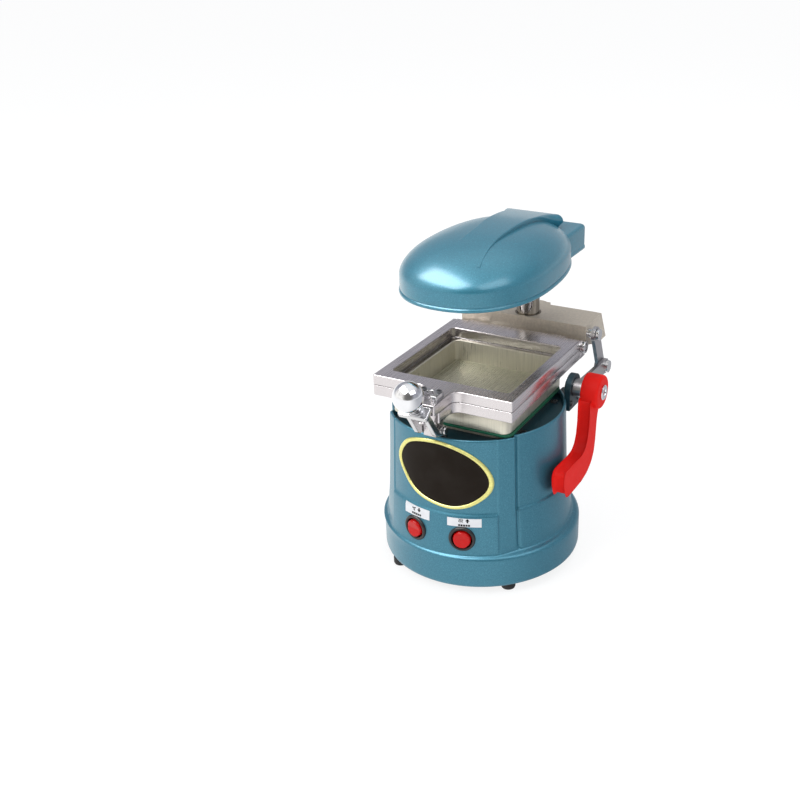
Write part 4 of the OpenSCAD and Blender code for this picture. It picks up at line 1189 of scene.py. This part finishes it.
@dataclass
class FrontLatch:
    """The yoke on its pin and the plated ball on its stud."""

    lean: float = 35.0
    ball: tuple[float, float] = (-127.1, 206.6)
    ball_r: float = 13.2
    pin: tuple[float, float] = (-88.0, 161.0)

    def on_stud(self, shell: Shell) -> Shell:
        """A shell made round the ball's centre, leaned and put in place."""
        return shell.turned_about_x(self.lean).moved(0, *self.ball)

    def build(self, bench: Bench) -> None:
        """Makes the yoke, the pin and the ball."""
        bridge = plate(block(-13.5, 13.5, -8.5, 3.6, 1.6), -22.5, -18, [circle(3.6, sides=24)], 0.8)
        under = plate(block(-11, 11, -6.4, 2.8, 1), -26, -22.4, [circle(3.6, sides=24)], 0.6)
        side = rounded([(-114.2, 190.1, 1.2), (-118.8, 186.9, 1.2), (-101.4, 160.9, 5), (-97.5, 158.8, 4),
                        (-88.2, 156.6, 3), (-83.4, 158, 3.2), (-83.4, 164.4, 3.2), (-88.2, 165.4, 2),
                        (-94.5, 164.6, 3), (-97.5, 166.5, 4)], 5)
        legs = [plate(side, x, x + 4, [circle(2.05, self.pin, 24)], 0.6).stood(Axis.SIDE)
                for x in (6.5, -10.5)]
        bench.piece("yoke_legs", joined([self.on_stud(bridge + under), *legs]), Body.LATCH,
                    STEEL, ["latch_yoke"])
        t = np.linspace(0, np.radians(152), 40)
        ball = [(self.ball_r * np.sin(a), self.ball_r * np.cos(a)) for a in t]
        stem = [(6.4, -11.9), (6.6, -12.6), (6.2, -13.4), (5.6, -14.6), (5.8, -15.6), (5.9, -17.2),
                (5.5, -17.6), (3.5, -17.7), (3.5, -26.2), (4, -26.3), (4, -27.2), (3.6, -27.4), (0, -27.4)]
        bench.piece("ball_knob", self.on_stud(turned(ball + stem, 72)), Body.KNOB, CHROME,
                    ["knob"], 50)
        pin = along_x(bar(2, -12.6, 12.6, 0.3, 28), *self.pin)
        clips = along_x(bar(3.4, 11.1, 12.9, 0.5, 28), *self.pin)
        bench.piece("latch_pin_set", pin + clips.mirrored(), Body.CARRIAGE, STEEL,
                    ["latch_pin"])


@dataclass
class PostAndCarriage:
    """The rear bracket, the post, the guide rod and the sliding carriage."""

    rod_y: float = 134.5

    def build(self, bench: Bench) -> None:
        """Makes the standing and the sliding parts."""
        bench.eased("post_bracket", Body.BASE, ENAMEL, 1.2)
        bolts = [facing_rear(socket_head(4.5, 4, 2.4), x, 80.0, z) for x in (-33, 33) for z in (100, 124)]
        bench.piece("bracket_caps", joined(bolts), Body.BASE, STEEL,
                    ["bracket_bolts"])
        tube = turned([(0, 84), (11.2, 84), (11.4, 84.3), (11.4, 287.2), (10.8, 287.9), (0, 288)], 64)
        bench.piece("post_tube", tube.moved(0, POST_Y, 0), Body.BASE, POST, ["post"])
        rod = turned([(0, 88), (4.8, 88), (5, 88.3), (5, 195.4), (4.5, 196), (0, 196)], 40)
        bench.piece("guide_bar", rod.moved(0, self.rod_y, 0), Body.BASE, STEEL, ["guide_rod"])
        collar = turned([(11.45, 250), (17.4, 250), (18, 250.6), (18, 254.5), (17.2, 255), (17.2, 256),
                         (18, 256.5), (18, 262), (17.5, 262.6), (11.45, 262.6), (11.45, 250)], 64)
        bench.piece("collar_ring", collar.moved(0, POST_Y, 0), Body.BASE, DARK_STEEL,
                    ["post_collar"])
        cap = turned([(0, 288), (5.6, 288), (6, 288.4), (6, 290), (5.4, 290.6), (0, 290.6)])
        bench.piece("post_cap_screw", cap.moved(0, POST_Y, 0), Body.BASE, STEEL, ["post_screw"])
        bench.eased("carriage", Body.CARRIAGE, CAST_METAL, 0.7)
        bench.coat("carriage_bush", BRONZE)


@dataclass
class LeverSide:
    """The side bracket, crank, link and the red grip."""

    shaft: tuple[float, float] = (48.5, 158.0)
    grip_x: tuple[float, float] = (86.0, 98.0)

    def grip_outline(self) -> Array:
        """The grip seen from the right: arm, knee and hand bar."""
        y, z = self.shaft
        return rounded([(y + 4, z - 13, 2), (y - 15.6, z - 3, 3), (32.4, 150, 3), (32, 133, 20),
                        (29.5, 120, 14), (25, 111.5, 9), (18, 106.6, 9), (8, 105.4, 20), (-10, 106.6, 30),
                        (-26.8, 107.4, 4.6), (-26, 96, 16), (-22, 84.4, 6), (-6, 83.8, 20), (14, 83.8, 20),
                        (27, 86.4, 16), (36, 91.5, 13), (41.5, 99, 13), (44, 110, 30),
                        (46.5, 133, 30), (51.5, 144, 3)][::-1], 4)

    def build(self, bench: Bench) -> None:
        """Makes the side linkage from the shaft outwards."""
        bench.eased("lever_bracket", Body.BASE, DARK_ENAMEL, 0.8)
        dome = turned([(0, 0), (2.5, 0), (2.8, 0.3), (2.7, 0.9), (2.2, 1.2), (0, 1.25)], 28)
        heads = [along_x(dome, y, 144.5).moved(75.6) for y in (40.0, 57.0)]
        bench.piece("bracket_screw_heads", joined(heads), Body.BASE, DARK_STEEL, ["lever_screws"])
        bench.coat("lever_shaft", STEEL)
        bench.eased("crank", Body.LEVER, LINK_STEEL, 0.5)
        bench.eased("link", Body.LINK, LINK_STEEL, 0.5)
        bench.eased("crank_bolt", Body.LEVER, STEEL, 0.4)
        bench.eased("link_stud", Body.CARRIAGE, STEEL, 0.4)
        arm = plate(self.grip_outline(), *self.grip_x, (), 2.6, 2.6, 6).stood(Axis.SIDE)
        t = np.linspace(0, np.pi / 2, 7)
        boss = [(0, 86), (14.6, 86), (15.6, 86.4), (16, 87.4)]
        boss += [(16 - 2.6 * (1 - np.cos(a)), 100.4 + 2.6 * np.sin(a)) for a in t] + [(8.4, 103), (0, 103)]
        bench.piece("grip", arm + along_x(turned(boss, 64), *self.shaft), Body.LEVER, RED,
                    ["handle"], 50, 0.02)
        cap = [(3.1, 103.2), (7.0, 103), (7.2, 103.3), (7.2, 104.2), (6.6, 104.9), (4.2, 105), (3.6, 104.8),
               (3.2, 104.1), (3.1, 103.2)]
        bench.piece("grip_cap", along_x(turned(cap, 48), *self.shaft), Body.LEVER, CHROME,
                    ["handle_cap"])


@dataclass
class HeaterHead:
    """The enamelled head: domed oval cover, hood, rear box, and the heater under it."""

    base: float = 263.6
    half: float = 65.0
    centre: float = 9.4
    front: float = 86.1
    rear: float = 119.0
    power: float = 2.24
    side: float = 15.9
    dome: float = 28.7

    def oval(self, share: Array, grow: Array, sides: int = 144) -> Array:
        """Rows of the oval |x/a|^p + |y/b|^p = 1, scaled by share and let out by grow.

        Args:
            share: scale of each row.
            grow: millimetres added to the half lengths of each row.
            sides: points in a row.

        Returns:
            rows x sides x 2 points.
        """
        t = (np.arange(sides) + 0.5) * 2 * np.pi / sides
        c, s = np.cos(t), np.sin(t)
        b = np.where(s < 0, self.front, self.rear)[None, :]
        x = np.sign(c) * np.abs(c) ** (2 / self.power) * (self.half * share + grow)[:, None]
        y = np.sign(s) * np.abs(s) ** (2 / self.power) * (b * share[:, None] + grow[:, None])
        return np.stack([x, self.centre + y], -1)

    def height(self, share: Array) -> Array:
        """Height of the dome at a share of the oval: side + dome (1 - share^2.51)^(1/1.65)."""
        return self.base + self.side + self.dome * (1 - np.clip(share, 0, 1) ** 2.51) ** (1 / 1.65)

    def cover(self) -> Shell:
        """The dome from its pole to the beaded lip and back inside."""
        h = np.sin(np.linspace(0.5 * np.pi, 0, 34))
        rows = (1 - h**1.65) ** (1 / 2.51)
        rows[0] = 0.0005
        wall_z = np.array([275, 270, 267.9, 267.4, 267.0, 266.7, 266.3, 265.6, 264.6, 264.0, 263.6, 263.6])
        wall_d = np.array([0, 0, 0, -0.25, -0.45, -0.2, 0.35, 0.7, 0.75, 0.5, 0.0, -2.4])
        back = rows[::-1]
        share = np.concatenate([rows, np.ones(12), back])
        grow = np.concatenate([np.zeros(len(rows)), wall_d, -2.6 * back])
        level = np.concatenate([self.height(rows), wall_z, self.height(back) - 1.3])
        level[len(rows) + 12] -= 0.4
        flat = self.oval(share, grow)
        grid = np.concatenate([flat, np.broadcast_to(level[:, None, None], flat.shape[:2] + (1,))], -1)
        return lattice(grid)

    def dome_over(self, x: Array, y: Array) -> Array:
        """Height of the dome over a place in plan."""
        reach = np.where(y < self.centre, self.front, self.rear)
        share = np.abs(x / self.half) ** self.power + np.abs((y - self.centre) / reach) ** self.power
        return self.height(share ** (1 / self.power))

    def hood(self) -> Shell:
        """The raised spine: it leaves the dome flush at the front and ends in a rolled lip behind it."""
        y = np.concatenate([np.linspace(-52, 112, 80), [113.4, 114.6, 115.8, 116.35, 116.8, 117]])
        drawn = np.concatenate([np.zeros(83), [0.16, 0.55, 1.3]])
        right = fair(y, [-52, -47, -42, -28, -12, 4, 18, 38, 61, 77, 92, 100, 108, 117],
                     [28, 26.9, 26, 23.9, 22.5, 22.1, 22.2, 22.4, 22.6, 23.2, 24, 25.4, 28.6, 32.4])
        seam = fair(y, [-52, -47, -36, -26, -8, 9, 26, 46, 66, 86, 100, 117],
                    [28, 26.7, 25.4, 24, 22.2, 21.4, 21, 20.4, 19.7, 18.6, 19.5, 27])
        left = fair(y, [-52, -30, -10, 10, 37, 70, 93, 106, 117],
                    [-15, -9.5, -8, -8.5, -11.5, -15, -19, -24, -31])
        top = fair(y, [-52, -46, -30, -8, 20, 50, 78, 100, 117],
                   [297.5, 299.6, 304.6, 308.6, 310.4, 309.8, 306.6, 303, 299.4])
        roll = 0.9 + 5.4 * soft_step(y, 78, 114)
        low = self.dome_over(right, y) - 5 + (291.5 - self.dome_over(right, y)) * soft_step(y, 94, 110)
        right, left, top, low = right - drawn, left + drawn, top - drawn, low + drawn
        t = np.linspace(0, np.pi / 2, 9)[1:]
        u = np.linspace(0, 1, 34)
        x = np.hstack([(left + roll)[:, None] + (right - left - 2 * roll)[:, None] * u,
                       (right - roll)[:, None] + roll[:, None] * np.sin(t), (seam - drawn)[:, None],
                       (left + 2)[:, None], (left + roll)[:, None] - roll[:, None] * np.sin(t[::-1])])
        fall = (1 - np.cos(t))[None] * roll[:, None]
        z = np.hstack([np.repeat(top[:, None], 34, 1), top[:, None] - fall, low[:, None], low[:, None],
                       top[:, None] - fall[:, ::-1]])
        grid_y = np.repeat(y[:, None], x.shape[1], 1)
        dome = self.dome_over(x, grid_y) + 0.03 - 1.3 * soft_step(grid_y, -40, -49)
        flush = (z + dome + np.sqrt((z - dome) ** 2 + 0.06)) / 2
        wall = np.zeros(x.shape[1], bool)
        wall[42:44] = True
        made = lattice(np.stack([x, grid_y, np.where(wall, z, flush)], -1))
        count = x.shape[1]
        made.faces += [list(range(count)), list(range(count * (len(y) - 1), count * len(y)))]
        return made

    def rear_box(self) -> Shell:
        """The box behind the dome: an open-bottomed shell with a rounded top edge."""
        outline = rounded([(47, 88, 2), (47, 139.5, 6), (-47, 139.5, 6), (-47, 88, 2)], 7)
        t = np.linspace(0, np.pi / 2, 7)
        fall = [(3.4 * (1 - np.sin(a)), 287.3 - 3.4 * (1 - np.cos(a))) for a in t]
        rows = [(4.8, 287.3), *fall, (0, 268), (0, 267.2), (-0.5, 266.6), (-0.6, 265.6), (-0.5, 264.4),
                (0, 263.7), (2.6, 263.7), (2.6, 283.6), (4.8, 285.6)]
        rings = np.stack([np.column_stack([inset(outline, d), np.full(len(outline), z)]) for d, z in rows])
        made = lattice(rings)
        n = len(outline)
        made.faces += lid([inset(outline, 4.8)], [0]) + lid([inset(outline, 4.8)], [(len(rows) - 1) * n])
        return made

    def build(self, bench: Bench) -> None:
        """Makes the cover and the heater's parts."""
        bench.piece("head_shell", self.cover() + self.hood() + self.rear_box(), Body.HEAD,
                    HEAD_ENAMEL, ["head_cover"], 44, 0.01)
        boss = turned([(15.05, 264), (20.6, 264), (21, 264.4), (21, 284), (15.05, 284), (15.05, 264)], 48)
        bench.piece("pivot_boss", boss.moved(0, POST_Y, 0), Body.HEAD, DARK_ENAMEL)
        bench.eased("head_plate", Body.HEAD, DISH, 0.3)
        for node, finish in (("head_screws", STEEL), ("reflector", DISH), ("heater_coil", COIL),
                             ("heater_holders", CERAMIC), ("head_bush", BRONZE)):
            bench.coat(node, finish)


# --------------------------------------------------------------------------- stage


@dataclass
class Studio:
    """White floor and air, soft lamps and the camera of the view."""

    eye: tuple[float, float, float] = (409.11, -812.72, 578.30)
    aim: tuple[float, float, float] = (0.0, 44.05, 141.3)
    lens: float = 49.03
    shift: tuple[float, float] = (-0.1247, -0.0119)
    lamps: tuple = (("key", (-1.1, -1.5, 1.9), (1.1, 1.1), 24.0, False),
                    ("fill", (1.7, -0.9, 1.0), (1.2, 1.2), 4.0, False),
                    ("top", (0.1, 0.9, 2.2), (1.0, 1.0), 12.0, False),
                    ("box_left", (-0.42, -0.52, 1.35), (1.55, 0.75), 30.0, True),
                    ("box_right", (0.95, -0.30, 1.25), (1.1, 0.6), 5.0, True))

    def camera(self) -> None:
        """The camera, aimed and shifted as the view is framed."""
        data = bpy.data.cameras.new("view")
        data.lens, data.sensor_width = self.lens, 36.0
        data.shift_x, data.shift_y = self.shift
        data.clip_start, data.clip_end = 0.05, 50.0
        made = shown("view", data)
        eye = (np.array(self.eye) + SET_DOWN) * MM
        aim = (np.array(self.aim) + SET_DOWN) * MM
        made.location = eye.tolist()
        made.rotation_euler = Vector((aim - eye).tolist()).to_track_quat("-Z", "Y").to_euler()
        bpy.context.scene.camera = made

    def floor(self) -> None:
        """A wide white floor that keeps a soft shadow.

        Mirrors see it bright towards the front left and dim towards the rear right, by the ray's direction.
        """
        half = 12.0
        mesh = bpy.data.meshes.new("floor")
        mesh.from_pydata([(-half, -half, 0), (half, -half, 0), (half, half, 0), (-half, half, 0)], [],
                         [(0, 1, 2, 3)])
        made = shown("floor", mesh)
        material = bpy.data.materials.new("floor")
        material.use_nodes = True
        web = Web(material.node_tree)
        path = web.node("ShaderNodeLightPath")
        tone = web.blend(web.noise(3.0), (0.93, 0.93, 0.93), (0.95, 0.95, 0.95))
        matt = web.node("ShaderNodeBsdfDiffuse", None, {"Color": tone})
        back = Wire(web, web.node("ShaderNodeNewGeometry").outputs["Incoming"])
        apart = web.node("ShaderNodeSeparateXYZ", None, {0: back})
        heading = (Wire(web, apart.outputs[0]) + Wire(web, apart.outputs[1])) * -0.6
        tint = web.blend(web.span(heading, -0.1, 0.6), (1.24, 1.23, 1.2), (0.40, 0.41, 0.44))
        tint = web.blend(Wire(web, path.outputs["Is Camera Ray"]), tint, (1.0, 1.0, 1.0))
        glow = web.node("ShaderNodeEmission", None, {"Color": tint, "Strength": 1.1})
        seen = web.span(Wire(web, path.outputs["Is Camera Ray"]) + Wire(web, path.outputs["Is Glossy Ray"])
                        + Wire(web, path.outputs["Is Transmission Ray"]), 0, 1, 0, 0.76)
        both = web.node("ShaderNodeMixShader", None, {
            0: seen, 1: Wire(web, matt.outputs[0]), 2: Wire(web, glow.outputs[0])})
        web.node("ShaderNodeOutputMaterial", None, {0: Wire(web, both.outputs[0])})
        mesh.materials.append(material)

    def air(self) -> None:
        """The world: an even light; a ray that sees it directly finds white, a mirror finds a room.

        The room is white below and overhead, grey-lilac at mid height and dark on the camera's side.
        """
        world = bpy.data.worlds.new("air")
        bpy.context.scene.world = world
        world.use_nodes = True
        web = Web(world.node_tree)
        path = web.node("ShaderNodeLightPath")
        way = Wire(web, web.node("ShaderNodeTexCoord").outputs["Generated"])
        apart = web.node("ShaderNodeSeparateXYZ", None, {0: way})
        x, y, z = (Wire(web, apart.outputs[n]) for n in range(3))
        walls = web.node("ShaderNodeValToRGB", {"stops": [
            (0.0, (1.0, 1.0, 1.0)), (0.50, (0.95, 0.95, 0.96)), (0.58, (0.52, 0.53, 0.58)),
            (0.76, (0.40, 0.40, 0.45)), (0.92, (1.0, 1.0, 1.0)), (1.0, (1.1, 1.1, 1.1))]}, {0: z * 0.5 + 0.5})
        band = web.span(z, 0.0, 0.1) * web.span(z, 0.74, 0.5)
        window = web.span(y * -0.75 + x * -0.6 + z * 0.3, 0.55, 0.85)
        room = web.blend(window, Wire(web, walls.outputs[0]), (1.25, 1.22, 1.16))
        dark = web.span(x * 0.44 + y * -0.8 + z * 0.41, 0.72, 0.93)
        room = web.blend(dark * 0.8, room, (0.12, 0.11, 0.09))
        patchy = web.span(web.noise(3.4, 2.0, 0.5, over=way), 0.45, 0.55) * band
        room = web.blend(patchy * 0.25, room, (0.16, 0.15, 0.14))
        mirror = web.span(Wire(web, path.outputs["Is Glossy Ray"])
                          + Wire(web, path.outputs["Is Transmission Ray"]), 0, 1)
        colour = web.blend(mirror, (0.60, 0.61, 0.63), room)
        colour = web.blend(Wire(web, path.outputs["Is Camera Ray"]), colour, (1.0, 1.0, 1.0))
        back = web.node("ShaderNodeBackground", None, {0: colour, 1: 1.0})
        web.node("ShaderNodeOutputWorld", None, {0: Wire(web, back.outputs[0])})

    def lamp(self, name: str, place: tuple[float, float, float], size: tuple[float, float], power: float,
             mirrored: bool) -> None:
        """An oblong soft lamp that looks at the object, either only lighting it or only mirrored in it."""
        data = bpy.data.lights.new(name, "AREA")
        data.shape, data.size, data.size_y, data.energy = "RECTANGLE", *size, power
        made = shown(name, data)
        made.location = place
        made.rotation_euler = (Vector((0, 0, 0.2)) - Vector(place)).to_track_quat("-Z", "Y").to_euler()
        made.visible_glossy, made.visible_diffuse = mirrored, not mirrored

    def build(self) -> None:
        """Makes the whole stage."""
        self.camera()
        self.floor()
        self.air()
        for row in self.lamps:
            self.lamp(*row)
        bpy.context.scene.view_settings.view_transform = "Standard"


def main() -> None:
    """Builds the model in order."""
    logging.basicConfig(level=logging.INFO, format="%(name)s %(message)s")
    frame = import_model()
    Studio().build()
    bench = Bench(frame)
    casting = BaseCasting()
    for part in (casting, FrontPanel(casting), VacuumChamber(), ClampFrames(), FrontLatch(),
                 PostAndCarriage(), LeverSide(), HeaterHead()):
        part.build(bench)
        LOG.info("%s built", type(part).__name__)


if __name__ == "__main__":
    main()
